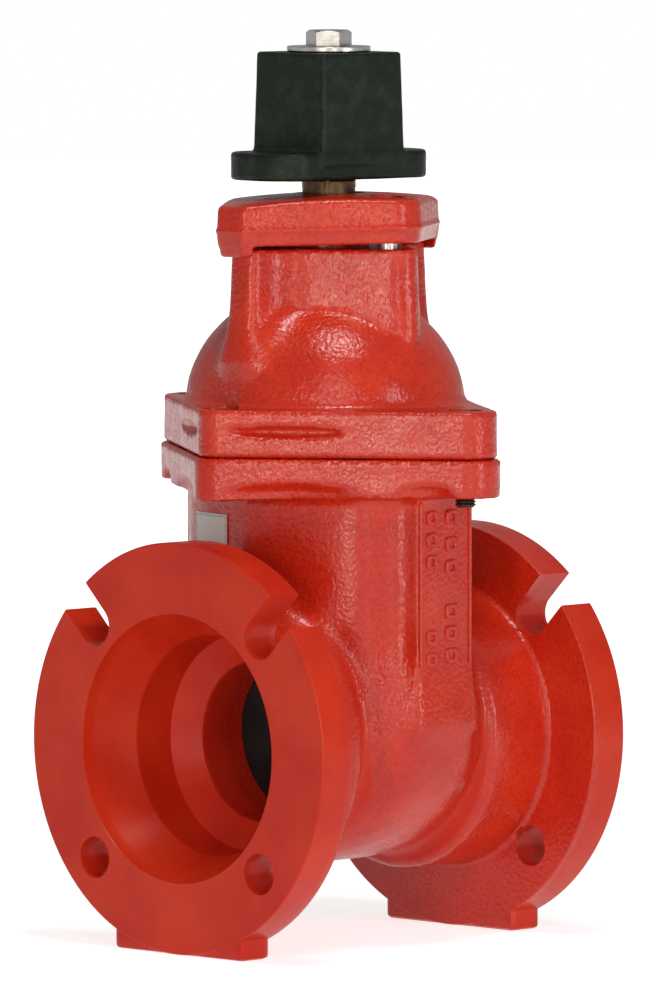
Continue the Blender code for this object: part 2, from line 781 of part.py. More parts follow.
def thread_mesh(builder, start_z, turns, core, depth, root, crest, closed_below, closed_above):
    """Adds a single-start trapezoid thread between two rings of points, bottom and top.

    Row k of step i lies at the angle of step i and at the height start + lead * (i / steps + share_k).
    The depth grows from nothing over the first turn and falls to nothing over the last one.
    """
    shares = (root[0], root[1], crest[0], crest[1])
    shape = (0.0, 0.0, 1.0, 1.0)
    steps = THREAD_STEPS
    last = turns * steps
    columns = []
    for i in range(last + 1):
        angle = THREAD_HAND * 2 * math.pi * i / steps
        fade = min(1.0, i / steps, (last - i) / steps)
        column = []
        for share, height in zip(shares, shape):
            radius = core + depth * height * fade
            z = start_z + THREAD_LEAD * (i / steps + share)
            point = (radius * math.cos(angle), radius * math.sin(angle), z)
            column.append(builder.verts.new(in_metres(point)))
        columns.append(column)
    # the strip's upper edge continues one turn higher as its lower edge
    tail = []
    for i in range(last + 1, last + steps + 1):
        angle = THREAD_HAND * 2 * math.pi * i / steps
        z = start_z + THREAD_LEAD * (i / steps + shares[0])
        point = (core * math.cos(angle), core * math.sin(angle), z)
        tail.append(builder.verts.new(in_metres(point)))

    def lower_edge(i):
        return columns[i][0] if i <= last else tail[i - last - 1]

    def strip_point(i, k):
        return columns[i][k] if k < len(shares) else lower_edge(i + steps)

    for i in range(last):
        for k in range(len(shares)):
            corners = (
                strip_point(i, k),
                strip_point(i + 1, k),
                strip_point(i + 1, k + 1),
                strip_point(i, k + 1),
            )
            builder.faces.new(corners)
    below = closed_below
    for i in range(steps - 1):
        builder.faces.new((below[i], below[i + 1], lower_edge(i + 1), lower_edge(i)))
    riser = [strip_point(0, k) for k in range(len(shares) + 1)]
    builder.faces.new([lower_edge(steps - 1), below[steps - 1], below[0]] + riser)
    above = closed_above
    offset = last % steps
    for i in range(1, steps):
        first = above[(offset + i) % steps]
        second = above[(offset + i + 1) % steps]
        builder.faces.new((lower_edge(last + i), lower_edge(last + i + 1), second, first))
    riser = [strip_point(last, k) for k in range(len(shares) + 1)]
    ends = [lower_edge(last + 1), above[(offset + 1) % steps], above[offset]]
    builder.faces.new(list(reversed(riser)) + ends)


def thread_ring(builder, radius, z):
    ring = []
    for i in range(THREAD_STEPS):
        angle = THREAD_HAND * 2 * math.pi * i / THREAD_STEPS
        point = (radius * math.cos(angle), radius * math.sin(angle), z)
        ring.append(builder.verts.new(in_metres(point)))
    return ring


def join_rings(builder, first, second):
    count = len(first)
    for i in range(count):
        j = (i + 1) % count
        builder.faces.new((first[i], first[j], second[j], second[i]))


# Stem and its pieces


def stem_profile():
    """(height, radius) of the stem above its thread, bottom to top."""
    profile = [(166.0, THREAD_CORE_R), (170.0, STEM_R)]
    lower, *upper = O_RING_LEVELS
    profile += o_ring_groove(lower)
    profile += [
        (COLLAR_BOTTOM_Z, STEM_R),
        (COLLAR_BOTTOM_Z, COLLAR_R),
        (COLLAR_TOP_Z, COLLAR_R),
        (COLLAR_TOP_Z, STEM_R),
    ]
    for level in upper:
        profile += o_ring_groove(level)
    profile += [(STEM_SHOULDER_Z - 1.0, STEM_R), (STEM_SHOULDER_Z, STEM_R - 1.0)]
    return profile


def o_ring_groove(level):
    half = O_RING_HALF + 0.35
    floor = STEM_R - O_RING_GROOVE_DEPTH
    return [
        (level - half, STEM_R),
        (level - half, floor),
        (level + half, floor),
        (level + half, STEM_R),
    ]


def make_stem(looks):
    builder = bmesh.new()
    bottom = thread_ring(builder, THREAD_CORE_R - 1.5, STEM_BOTTOM_Z)
    start = thread_ring(builder, THREAD_CORE_R, STEM_BOTTOM_Z + 1.5)
    rings = [thread_ring(builder, radius, z) for z, radius in stem_profile()]
    thread_start = STEM_BOTTOM_Z + 3.0
    thread_mesh(
        builder,
        thread_start,
        THREAD_TURNS - 1,
        THREAD_CORE_R,
        THREAD_DEPTH,
        THREAD_ROOT,
        THREAD_CREST,
        start,
        rings[0],
    )
    builder.faces.new(bottom)
    join_rings(builder, bottom, start)
    for lower, upper in zip(rings, rings[1:]):
        join_rings(builder, lower, upper)
    builder.faces.new(rings[-1])
    stem = finish_object("stem", builder, looks["stem_bronze"])
    half = STEM_SQUARE_HALF
    square = ((half, -half), (half, half), (-half, half), (-half, -half))
    drive = prism("stem_square", rounded(square, 1.2, 2), STEM_SHOULDER_Z - 4.0, STEM_TOP_Z)
    drive.rotation_euler.z = math.radians(OPERATING_NUT_YAW)
    add(stem, drive)
    tapping_floor = NUT_BOLT_TIP_Z - 4.0
    cut(stem, upright_hole("stem_tapping", (0, 0), NUT_BOLT_R + GAP, tapping_floor, STEM_TOP_Z + 2.0))
    return stem


def round_ring(name, major, minor, z, look):
    profile = []
    for i in range(6):
        angle = 2 * math.pi * (i + 0.5) / 6
        profile.append((z + minor * math.sin(angle), major + minor * math.cos(angle)))
    return turned(name, profile, look, ring=True)


def flat_ring(name, inner, outer, low, high, look):
    profile = ((low, inner), (low, outer), (high, outer), (high, inner))
    return turned(name, profile, look, ring=True, steps=ROUND_STEPS)


def make_seals(looks):
    rubber = looks["black_rubber"]
    names = ("stem_o_ring_lower", "stem_o_ring_upper_1", "stem_o_ring_upper_2")
    major = STEM_R - O_RING_GROOVE_DEPTH + GAP + O_RING_HALF
    for name, level in zip(names, O_RING_LEVELS):
        round_ring(name, major, O_RING_HALF - 0.05, level, rubber)
    major, minor = PLATE_O_RING
    round_ring("seal_plate_o_ring", major, minor, sum(PLATE_GROOVE_Z) / 2, rubber)
    wiper_top = PLATE_CROWN_Z - 0.4
    flat_ring("stem_wiper", STEM_R + 0.2, WIPER_R, WIPER_FLOOR_Z + GAP, wiper_top, rubber)
    plastic = looks["white_plastic"]
    inner, outer = STEM_BORE_R, THRUST_BORE_R - 0.4
    low = THRUST_BORE_FLOOR_Z + GAP
    flat_ring("thrust_washer_lower", inner, outer, low, COLLAR_BOTTOM_Z - GAP, plastic)
    low = COLLAR_TOP_Z + GAP
    flat_ring("thrust_washer_upper", inner, outer, low, SPIGOT_BOTTOM_Z - GAP, plastic)
    low = PARTING_Z - GASKET_DEPTH + GAP
    gasket_ring("bonnet_gasket", GASKET_WIDTH / 2, low, PARTING_Z, rubber)


# Operating nut and its fastener


def nut_base_outline():
    half = NUT_SQUARE_BASE / 2
    corners = (
        (NUT_SHOULDER_X, -half),
        (NUT_EAR_X, -NUT_EAR_HALF_Y),
        (NUT_EAR_X, NUT_EAR_HALF_Y),
        (NUT_SHOULDER_X, half),
        (-NUT_SHOULDER_X, half),
        (-NUT_EAR_X, NUT_EAR_HALF_Y),
        (-NUT_EAR_X, -NUT_EAR_HALF_Y),
        (-NUT_SHOULDER_X, -half),
    )
    return rounded(corners, 2.5, 2)


def square_ring(side, z, corner=2.0):
    half = side / 2
    corners = ((half, -half), (half, half), (-half, half), (-half, -half))
    return [(x, y, z) for x, y in rounded(corners, corner, 3)]


def make_operating_nut(looks):
    nut = prism(
        "operating_nut", nut_base_outline(), NUT_BOTTOM_Z, NUT_BASE_TOP_Z, looks["black_iron"], 1.2
    )
    taper = (NUT_SQUARE_BASE - NUT_SQUARE_TOP) / (NUT_TOP_Z - NUT_BASE_TOP_Z)
    low = NUT_BASE_TOP_Z - 4.0
    drive = loft(
        "nut_drive",
        [
            square_ring(NUT_SQUARE_BASE - 0.4, low),
            square_ring(NUT_SQUARE_TOP + taper * 1.5, NUT_TOP_Z - 1.5),
            square_ring(NUT_SQUARE_TOP - 2.4, NUT_TOP_Z, 1.5),
        ],
    )
    add(nut, drive)
    half = STEM_SQUARE_HALF + GAP
    square = ((half, -half), (half, half), (-half, half), (-half, -half))
    cut(nut, prism("nut_socket", square, NUT_BOTTOM_Z - 5.0, NUT_TOP_Z + 5.0))
    nut.rotation_euler.z = math.radians(OPERATING_NUT_YAW)
    for helper in nut.modifiers:
        helper.object.parent = nut
    return nut


def hexagon(across_flats):
    radius = across_flats / math.sqrt(3)
    return [
        (radius * math.cos(math.radians(60 * i)), radius * math.sin(math.radians(60 * i)))
        for i in range(6)
    ]


def make_operating_nut_fastener(looks):
    zinc = looks["zinc_steel"]
    low = NUT_TOP_Z + GAP
    high = low + WASHER_THICKNESS
    flat_ring("operating_nut_washer", NUT_BOLT_R + 2 * GAP, WASHER_R, low, high, zinc)
    head_low = high + GAP
    bolt = prism(
        "operating_nut_bolt",
        hexagon(HEX_ACROSS_FLATS),
        head_low,
        head_low + HEX_HEIGHT,
        zinc,
        edge=0.9,
    )
    bolt.rotation_euler.z = math.radians(NUT_BOLT_YAW)
    shank = ((NUT_BOLT_TIP_Z, NUT_BOLT_R), (head_low + 2.0, NUT_BOLT_R))
    add(bolt, turned("nut_bolt_shank", shank))
    return bolt


# Screws


def socket_screw(name, at, seat, tip, look):
    """A socket-head cap screw standing on seat, head up."""
    top = seat + BOLT_HEAD_HEIGHT
    profile = (
        (tip, BOLT_SHANK_R - BOLT_CHAMFER),
        (tip + BOLT_CHAMFER, BOLT_SHANK_R),
        (seat, BOLT_SHANK_R),
        (seat, BOLT_HEAD_R),
        (top - BOLT_CHAMFER, BOLT_HEAD_R),
        (top, BOLT_HEAD_R - BOLT_CHAMFER),
    )
    screw = turned(name, profile, look, steps=SMALL_ROUND_STEPS)
    screw.location = (at[0] * MM, at[1] * MM, 0.0)
    key_hole = prism(f"{name}_key", hexagon(BOLT_KEY), top - BOLT_KEY_DEPTH, top + 1.0)
    key_hole.location = screw.location
    cut(screw, key_hole)


def make_screws(looks):
    zinc = looks["zinc_steel"]
    for i, at in enumerate(BONNET_BOLTS):
        seat = BONNET_BOLT_FLOOR_Z + GAP
        tip = SIDE_BOLT_TIP_Z if at[0] else BONNET_BOLT_TIP_Z
        socket_screw(f"bonnet_bolt_{i + 1}", at, seat, tip, zinc)
    for i, side in enumerate((-1, 1)):
        seat = SEAL_BOLT_FLOOR_Z + GAP
        at = (0.0, side * SEAL_BOLT_Y)
        socket_screw(f"seal_plate_bolt_{i + 1}", at, seat, SEAL_BOLT_TIP_Z, zinc)


# Wedge


def core_shape(name, grow, look=None):
    """The iron wedge's slab, swollen by grow where it serves as a cutter."""
    return wedge_slab(name, CORE_HALF_X + grow, CORE_R + grow, CORE_TOP_Z + grow, look)


def lug_bar(name, grow):
    low = (-LUG_HALF_X - grow, -LUG_END_Y - grow, LUG_Z[0] - grow)
    high = (LUG_HALF_X + grow, LUG_END_Y + grow, LUG_Z[1] + grow)
    return block(name, low, high)


def nut_slot_ring(x, grow):
    low, high = NUT_SLOT_Z
    wing = NUT_WING_Y + grow
    waist = NUT_WAIST_Y + grow
    top = HUB_TOP_Z + (3.0 if grow else 0.0)
    profile = (
        (-wing, low - grow),
        (wing, low - grow),
        (wing, high + grow),
        (waist, high + grow),
        (waist, top),
        (-waist, top),
        (-waist, high + grow),
        (-wing, high + grow),
    )
    return [(x, y, z) for y, z in profile]


def make_wedge_core(looks):
    core = core_shape("wedge_core", 0.0, looks["black_iron"])
    hub = block(
        "wedge_hub", (-HUB_HALF_X, -HUB_HALF_Y, HUB_BOTTOM_Z), (HUB_HALF_X, HUB_HALF_Y, HUB_TOP_Z)
    )
    add(core, hub, lug_bar("lug_bar", 0.0))
    slot = loft("nut_slot", [nut_slot_ring(x, GAP) for x in (-25.0, 25.0)])
    cut(core, slot)
    cut(core, upright_hole("stem_passage", (0, 0), STEM_PASSAGE_R, -60.0, 50.0, ROUND_STEPS))
    return core


def make_wedge_rubber(looks):
    rubber = wedge_slab(
        "wedge_rubber", RUBBER_HALF_X, RUBBER_R, RUBBER_TOP_Z, looks["black_rubber"]
    )
    cut(rubber, core_shape("core_space", GAP))
    hub_low = (-HUB_HALF_X - GAP, -HUB_HALF_Y - GAP, HUB_BOTTOM_Z - GAP)
    hub_high = (HUB_HALF_X + GAP, HUB_HALF_Y + GAP, RUBBER_SPACE_TOP_Z)
    cut(rubber, block("hub_space", hub_low, hub_high))
    low = (-LUG_HALF_X - GAP, -LUG_END_Y, LUG_Z[0] - GAP)
    high = (LUG_HALF_X + GAP, LUG_END_Y, RUBBER_SPACE_TOP_Z)
    cut(rubber, block("lug_space", low, high))
    passage = upright_hole("rubber_passage", (0, 0), STEM_PASSAGE_R, -60.0, 0.0, ROUND_STEPS)
    cut(rubber, passage)
    return rubber


def make_wedge_guides(looks):
    for i, side in enumerate((-1, 1)):
        near, far = sorted((side * 50.0, side * (CHANNEL_END_Y - GAP)))
        half = CHANNEL_HALF_X - GAP
        name = f"wedge_guide_{i + 1}"
        low, high = LUG_Z[0] - 2.0, LUG_Z[1] + 2.0
        cap = block(name, (-half, near, low), (half, far, high), looks["white_plastic"])
        cut(cap, lug_bar(f"{name}_slot", GAP))


def make_stem_nut(looks):
    rings = [nut_slot_ring(x, 0.0) for x in (-NUT_HALF_X, NUT_HALF_X)]
    nut = loft("stem_nut", rings, looks["stem_bronze"])
    builder = bmesh.new()
    start_z = STEM_BOTTOM_Z + 3.0 - 2 * THREAD_LEAD
    turns = 6
    low = thread_ring(builder, THREAD_CORE_R + TAP_CLEARANCE, start_z - 2.0)
    high_z = start_z + THREAD_LEAD * (turns + 1) + 2.0
    high = thread_ring(builder, THREAD_CORE_R + TAP_CLEARANCE, high_z)
    widen = TAP_CLEARANCE / THREAD_LEAD
    root = (THREAD_ROOT[0] + widen, THREAD_ROOT[1] - widen)
    crest = (THREAD_CREST[0] - widen, THREAD_CREST[1] + widen)
    core = THREAD_CORE_R + TAP_CLEARANCE
    thread_mesh(builder, start_z, turns, core, THREAD_DEPTH, root, crest, low, high)
    builder.faces.new(low)
    builder.faces.new(high)
    cut(nut, finish_object("stem_nut_tap", builder, None))
    return nut


# Label


def make_label(looks):
    """A thin blank label that follows the curve of the body neck on its inlet side."""
    steps = 8
    rings = []
    for z in LABEL_Z:
        near, far = [], []
        for i in range(steps + 1):
            y = LABEL_Y[0] + (LABEL_Y[1] - LABEL_Y[0]) * i / steps
            share = 1.0 - (y / NECK_HALF_Y) ** OVAL_POWER_Y
            x = -NECK_HALF_X * share ** (1 / OVAL_POWER_X)
            near.append((x - GAP, y, z))
            far.append((x - GAP - LABEL_THICKNESS, y, z))
        rings.append(far + list(reversed(near)))
    return loft("inspection_label", rings, looks["label_white"])


def clear_scene():
    for old in list(bpy.data.objects):
        bpy.data.objects.remove(old)


def main():
    clear_scene()
    looks = make_materials()
    make_body(looks)
    make_bonnet(looks)
    make_seal_plate(looks)
    make_stem(looks)
    make_seals(looks)
    make_operating_nut(looks)
    make_operating_nut_fastener(looks)
    make_screws(looks)
    make_wedge_core(looks)
    make_wedge_rubber(looks)
    make_wedge_guides(looks)
    make_stem_nut(looks)
    make_label(looks)


main()
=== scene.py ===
import itertools
import json
import math

import bpy
import numpy as np
from mathutils import Matrix, Vector


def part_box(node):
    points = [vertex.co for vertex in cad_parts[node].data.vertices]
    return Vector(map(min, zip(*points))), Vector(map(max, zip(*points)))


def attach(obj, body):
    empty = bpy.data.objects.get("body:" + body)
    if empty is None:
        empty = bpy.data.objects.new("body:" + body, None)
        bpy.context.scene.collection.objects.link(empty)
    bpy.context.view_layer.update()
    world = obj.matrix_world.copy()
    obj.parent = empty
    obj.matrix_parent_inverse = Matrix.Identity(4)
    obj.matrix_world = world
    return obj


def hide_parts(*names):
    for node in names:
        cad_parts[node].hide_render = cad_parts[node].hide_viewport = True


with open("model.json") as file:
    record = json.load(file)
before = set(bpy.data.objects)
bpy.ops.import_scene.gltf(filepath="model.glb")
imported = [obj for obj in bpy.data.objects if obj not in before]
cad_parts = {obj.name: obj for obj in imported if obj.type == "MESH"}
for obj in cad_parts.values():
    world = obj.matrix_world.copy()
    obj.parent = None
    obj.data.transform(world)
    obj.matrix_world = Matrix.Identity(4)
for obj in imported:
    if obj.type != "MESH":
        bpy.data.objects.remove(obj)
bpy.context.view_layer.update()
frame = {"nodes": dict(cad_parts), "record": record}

# Lengths are millimetres until a mesh is made. Heights are measured from the pipe axis.
MM = 0.001
OPENING = frame["record"]["physics"]["openings"][0]["box_m"]
AXIS_Z = (OPENING[0][2] + OPENING[1][2]) / 2 / MM
FACE_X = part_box("valve_body")[1].x / MM

# Body
END_FLANGE_R = 98.1
END_FLANGE_THICKNESS = 20.7
BOLT_CIRCLE_R = 78.6
BOLT_HOLE_R = 9.9
BELL_R = 67.5
BELL_END_X = 44.0
BARREL_R = 58.0
SOCKET_PROFILE = ((2.0, 64.9), (0.0, 64.1), (-0.8, 63.6), (-7.5, 63.0), (-25.0, 52.9), (-25.6, 52.3))
SOCKET_PROFILE += ((-47.0, 51.7), (-55.1, 38.9), (-55.9, 38.3), (-58.5, 38.1))
NECK_HALF = (56.0, 67.0)
NECK_POWERS = (4.0, 1.5)
WALL = 9.0
DRUM_RADII = (50.0, 78.4, 63.0)
DRUM_CENTRE_Z = 5.0
RIB_HALF_X = 19.0
RIB_Y = 78.4
RIB_BOTTOM_Z = 8.0
FLANGE_BOTTOM_Z = 119.0
PARTING_Z = 137.3
RIM_EDGE = 0.9
FOOT_HALF_Y, FOOT_ROOT_Z = 43.0, -70.0
POCKET_R, POCKET_TOP_Z = 51.0, 60.0
POCKET_HALF_X, WEDGE_SLOPE = 21.0, math.tan(math.radians(4.0))
GROOVE_MID, GROOVE_HALF = (58.0, 80.0), 2.5
LUG_X, LUG_X_R = 72.5, 12.8
LUG_Y, LUG_Y_R = 91.2, 16.6
GAP = 0.3

# Bonnet
BONNET_TOP_Z = 160.5
DOME_RADII = (64.3, 69.2, 59.3)
DOME_CENTRE_Z = 158.0
NECK_TOP_Z = 235.3
NECK_FOOT_Z = 172.0
NECK_TAPER = 0.06
BONNET_INSET = 1.5
DOME_SHIFT_Y = 2.4
TAB_END_X, TAB_HALF_Y = 59.5, 8.3
NECK_WALL_NORMAL, NECK_WALL_REACH = (0.804, 0.595), 37.4
NECK_APEX_Y = 56.0
HOLLOW_HALF, HOLLOW_RISE_Z, HOLLOW_RISE = (50.0, 56.0), 150.0, 46.0

# Screws
BONNET_BOLTS = ((-LUG_X, 0.0), (0.0, -LUG_Y), (LUG_X, 0.0), (0.0, LUG_Y))
SEAL_BOLT_Y = 39.5
TAPPING_R, CLEARANCE_R, COUNTERBORE_R = 5.3, 5.6, 8.4
BLIND_HOLE_FLOOR_Z = 122.3
COUNTERBORE_FLOOR_Z, COUNTERBORE_CUT_TOP_Z = 149.4, 178.0
SCREW_R, SCREW_ROOT_R, SCREW_HEAD_R = 5.0, 4.15, 8.0
SCREW_HEAD_HEIGHT = 9.8
SCREW_PITCH = 1.5
SCREW_KEY, SCREW_KEY_DEPTH = 8.0, 5.4

# Seal plate
PLATE_ROUGH_Z, PLATE_LIP_TOP_Z = 238.3, 242.3
PLATE_EAR_X, PLATE_EAR_Z = 61.6, 232.0
PLATE_RIDGE_Z = 244.4
PLATE_CROWN_Z = 261.4
PLATE_APEX_Y = 56.6
PLATE_APEX_DROP = 4.0
PLATE_COUNTERBORE_Z = 244.0
PLATE_EDGE_DROP = 5.4
PLATE_END_X = 68.0
PLATE_TILT = 0.026
PLATE_UNDERSIDE_Z = 237.0

# Operating nut
NUT_YAW = math.radians(-4.6)
NUT_BOTTOM_Z = 267.7
NUT_BASE_TOP_Z = 281.0
NUT_TOP_Z = 328.3
NUT_HALF = 25.4
NUT_BASE_HALF_X, NUT_BASE_END_HALF_Y = 51.4, 12.0
NUT_BEVEL_X = 39.7
NUT_SOCKET_HALF = 9.8
WASHER_R, WASHER_BORE_R, WASHER_HEIGHT = 20.0, 6.6, 2.4
HEX_ACROSS, HEX_HEIGHT = 19.0, 7.4

# Stem
STEM_R = 12.7
STEM_BORE_R = 13.2
STEM_SQUARE_HALF = 9.5
COLLAR_R, COLLAR_EDGE = 18.5, 0.4


# Fields: negative inside, in millimetres


def smooth_min(a, b, reach):
    blend = np.maximum(reach - np.abs(a - b), 0.0) / reach
    return np.minimum(a, b) - blend * blend * reach / 4


def smooth_max(a, b, reach):
    return -smooth_min(-a, -b, reach)


def rounded_pair(a, b, edge):
    """The intersection of two fields with its edge rounded."""
    p, q = a + edge, b + edge
    outside = np.sqrt(np.maximum(p, 0.0) ** 2 + np.maximum(q, 0.0) ** 2)
    return outside + np.minimum(np.maximum(p, q), 0.0) - edge


def between(value, low, high):
    return np.abs(value - (low + high) / 2) - (high - low) / 2


def slab(field, value, low, high, edge):
    return rounded_pair(field, between(value, low, high), edge)


def box(x, y, z, low, high, edge):
    across = rounded_pair(between(x, low[0], high[0]), between(y, low[1], high[1]), edge)
    return slab(across, z, low[2], high[2], edge)


def ellipsoid(x, y, z, centre, radii):
    p, q, r = x - centre[0], y - centre[1], z - centre[2]
    a, b, c = radii
    scaled = np.sqrt((p / a) ** 2 + (q / b) ** 2 + (r / c) ** 2)
    slope = np.sqrt((p / a**2) ** 2 + (q / b**2) ** 2 + (r / c**2) ** 2)
    return scaled * (scaled - 1.0) / np.maximum(slope, 1e-6)


def oval_column(x, y, half, powers):
    p, q = np.abs(x) / half[0], np.abs(y) / half[1]
    value = p ** powers[0] + q ** powers[1] - 1.0
    slope_x = powers[0] / half[0] * p ** (powers[0] - 1)
    slope_y = powers[1] / half[1] * q ** (powers[1] - 1)
    return value / np.maximum(np.sqrt(slope_x**2 + slope_y**2), 0.012)


def blunt_diamond(x, y, half, end_half, reach):
    """A diamond whose corners on both axes are cut off straight."""
    start = Vector((half[0], end_half[1]))
    end = Vector((end_half[0], half[1]))
    along = (end - start).normalized()
    side = np.abs(x) * along.y - np.abs(y) * along.x - (start.x * along.y - start.y * along.x)
    return smooth_max(smooth_max(side, np.abs(x) - half[0], reach), np.abs(y) - half[1], reach)


def waviness(x, y, z, height):
    """A cast skin's slow unevenness, never above zero, so that the surface only moves inwards."""
    waves = ((0.31, 0.17, 0.23, 0.4), (-0.21, 0.35, 0.12, 1.9), (0.14, -0.26, 0.33, 3.1))
    waves += ((0.47, 0.22, -0.31, 5.0), (-0.38, -0.29, 0.42, 0.9), (0.26, 0.51, 0.37, 2.4))
    total = sum(np.sin(a * x + b * y + c * z + d) for a, b, c, d in waves)
    return height * (1.0 + total / len(waves))


# Meshes


def net_mesh(name, field_of, low, high, step, node=None):
    """A closed surface of quads along a field's zero level, kept within a CAD node's box if one is named."""
    low = np.array(low, np.float64)
    counts = np.ceil((np.array(high) - low) / step).astype(int) + 1
    axes = [low[i] + step * np.arange(counts[i]) for i in range(3)]
    x, y, z = np.meshgrid(*axes, indexing="ij", sparse=True)
    field = np.broadcast_to(field_of(x, y, z), counts).astype(np.float64)
    inside = field < 0
    cells_shape = counts - 1
    full = np.zeros(cells_shape, np.int8)
    for i, j, k in itertools.product((0, 1), repeat=3):
        full += inside[i : i + cells_shape[0], j : j + cells_shape[1], k : k + cells_shape[2]]
    active = (full > 0) & (full < 8)
    cells = np.argwhere(active)
    index = np.full(cells_shape, -1)
    index[active] = np.arange(len(cells))
    total = np.zeros((len(cells), 3))
    hits = np.zeros(len(cells))
    for axis in range(3):
        first, second = (axis + 1) % 3, (axis + 2) % 3
        for a, b in itertools.product((0, 1), repeat=2):
            start = cells.copy()
            start[:, first] += a
            start[:, second] += b
            end = start.copy()
            end[:, axis] += 1
            here, there = field[tuple(start.T)], field[tuple(end.T)]
            crossing = (here < 0) != (there < 0)
            point = start[crossing].astype(np.float64)
            point[:, axis] += here[crossing] / (here[crossing] - there[crossing])
            total[crossing] += point
            hits[crossing] += 1
    points = settle(field_of, low + total / hits[:, None] * step, step)
    if node is not None:
        limits = [(Vector(corner) / MM - Vector((0.0, 0.0, AXIS_Z)))[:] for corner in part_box(node)]
        points = np.clip(points, *limits)
    quads = []
    for axis in range(3):
        first, second = (axis + 1) % 3, (axis + 2) % 3
        lower = np.take(inside, range(counts[axis] - 1), axis)
        upper = np.take(inside, range(1, counts[axis]), axis)
        at = np.argwhere(lower != upper)
        back_first, back_second = np.zeros(3, int), np.zeros(3, int)
        back_first[first] = back_second[second] = 1
        ring = (at - back_first - back_second, at - back_second, at, at - back_first)
        quad = np.stack([index[tuple(corner.T)] for corner in ring], axis=1)
        turned = ~lower[tuple(at.T)]
        quad[turned] = quad[turned][:, ::-1]
        quads.append(quad)
    return mesh_object(name, points, np.concatenate(quads))


def settle(field_of, points, step):
    """Moves points onto the zero level along the field's slope."""
    reach = 0.05
    for _ in range(3):
        value = field_of(*points.T)
        slope = np.empty_like(points)
        for axis in range(3):
            shift = np.zeros(3)
            shift[axis] = reach
            slope[:, axis] = (field_of(*(points + shift).T) - field_of(*(points - shift).T)) / (2 * reach)
        steep = np.maximum((slope**2).sum(axis=1), 0.2)
        move = (value / steep)[:, None] * slope
        points = points - np.clip(move, -step / 3, step / 3)
    return points


def mesh_object(name, points, faces):
    mesh = bpy.data.meshes.new(name)
    placed = (np.asarray(points, np.float64) + (0.0, 0.0, AXIS_Z)) * MM
    mesh.from_pydata(placed.tolist(), [], [list(map(int, face)) for face in faces])
    mesh.update()
    made = bpy.data.objects.new(name, mesh)
    bpy.context.scene.collection.objects.link(made)
    return made


def lathe(name, profile, steps=96, along_x=False, ring=False):
    """A turned body. profile lists (position along the axis, radius); a ring's profile is a closed loop."""
    points, faces = [], []
    count = len(profile)
    for i in range(steps):
        angle = 2 * math.pi * i / steps
        for along, radius in profile:
            across, third = radius * math.cos(angle), radius * math.sin(angle)
            points.append((along, across, third) if along_x else (across, third, along))
    for i in range(steps):
        j = (i + 1) % steps
        for k in range(count if ring else count - 1):
            m = (k + 1) % count
            faces.append((i * count + k, j * count + k, j * count + m, i * count + m))
    if not ring:
        faces.append([i * count for i in reversed(range(steps))])
        faces.append([i * count + count - 1 for i in range(steps)])
    return outwards(mesh_object(name, points, faces))


def prism(name, rings):
    """A closed body through rings of equal point counts."""
    count = len(rings[0])
    points = [point for ring in rings for point in ring]
    faces = [list(reversed(range(count)))]
    for level in range(len(rings) - 1):
        for i in range(count):
            j = (i + 1) % count
            low, high = level * count, (level + 1) * count
            faces.append((low + i, low + j, high + j, high + i))
    faces.append([(len(rings) - 1) * count + i for i in range(count)])
    return outwards(mesh_object(name, points, faces))


def outwards(piece):
    """Turns the faces outwards, whichever way the profile ran."""
    mesh = piece.data
    mesh.calc_loop_triangles()
    points = np.array([vertex.co for vertex in mesh.vertices])
    corners = points[np.array([triangle.vertices for triangle in mesh.loop_triangles])]
    if np.linalg.det(corners).sum() < 0:
        mesh.flip_normals()
    return piece


def apply_modifiers(piece):
    graph = bpy.context.evaluated_depsgraph_get()
    mesh = bpy.data.meshes.new_from_object(piece.evaluated_get(graph), depsgraph=graph)
    piece.modifiers.clear()
    old = piece.data
    piece.data = mesh
    bpy.data.meshes.remove(old)


def combine(piece, operation, others):
    """Joins, cuts or trims a piece with each of the others in turn, and removes them."""
    for other in others:
        change = piece.modifiers.new("change", "BOOLEAN")
        change.operation = operation
        change.solver = "MANIFOLD"
        change.object = other
    bpy.context.view_layer.update()
    apply_modifiers(piece)
    for other in others:
        mesh = other.data
        bpy.data.objects.remove(other)
        bpy.data.meshes.remove(mesh)


def subtract(piece, cutters):
    combine(piece, "DIFFERENCE", cutters)


def unite(piece, other):
    combine(piece, "UNION", [other])


def finish_piece(piece, look, body, nodes, sharp=45.0):
    mesh = piece.data
    mesh.shade_smooth()
    mesh.set_sharp_from_angle(angle=math.radians(sharp))
    weighted = piece.modifiers.new("weighted_normals", "WEIGHTED_NORMAL")
    weighted.keep_sharp = True
    mesh.materials.clear()
    mesh.materials.append(look)
    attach(piece, body)
    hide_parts(*nodes)
    return piece


def upright(name, at, radius, low, high, steps=48):
    made = lathe(name, ((low, radius), (high, radius)), steps)
    made.data.transform(Matrix.Translation((at[0] * MM, at[1] * MM, 0.0)))
    return made


# Body casting

PAD_ROWS_LEFT = (109.0, 98.5, 88.0, 52.0, 41.5)
PAD_ROWS_RIGHT = (109.0, 96.0, 85.0, 64.0, 53.5, 43.0)


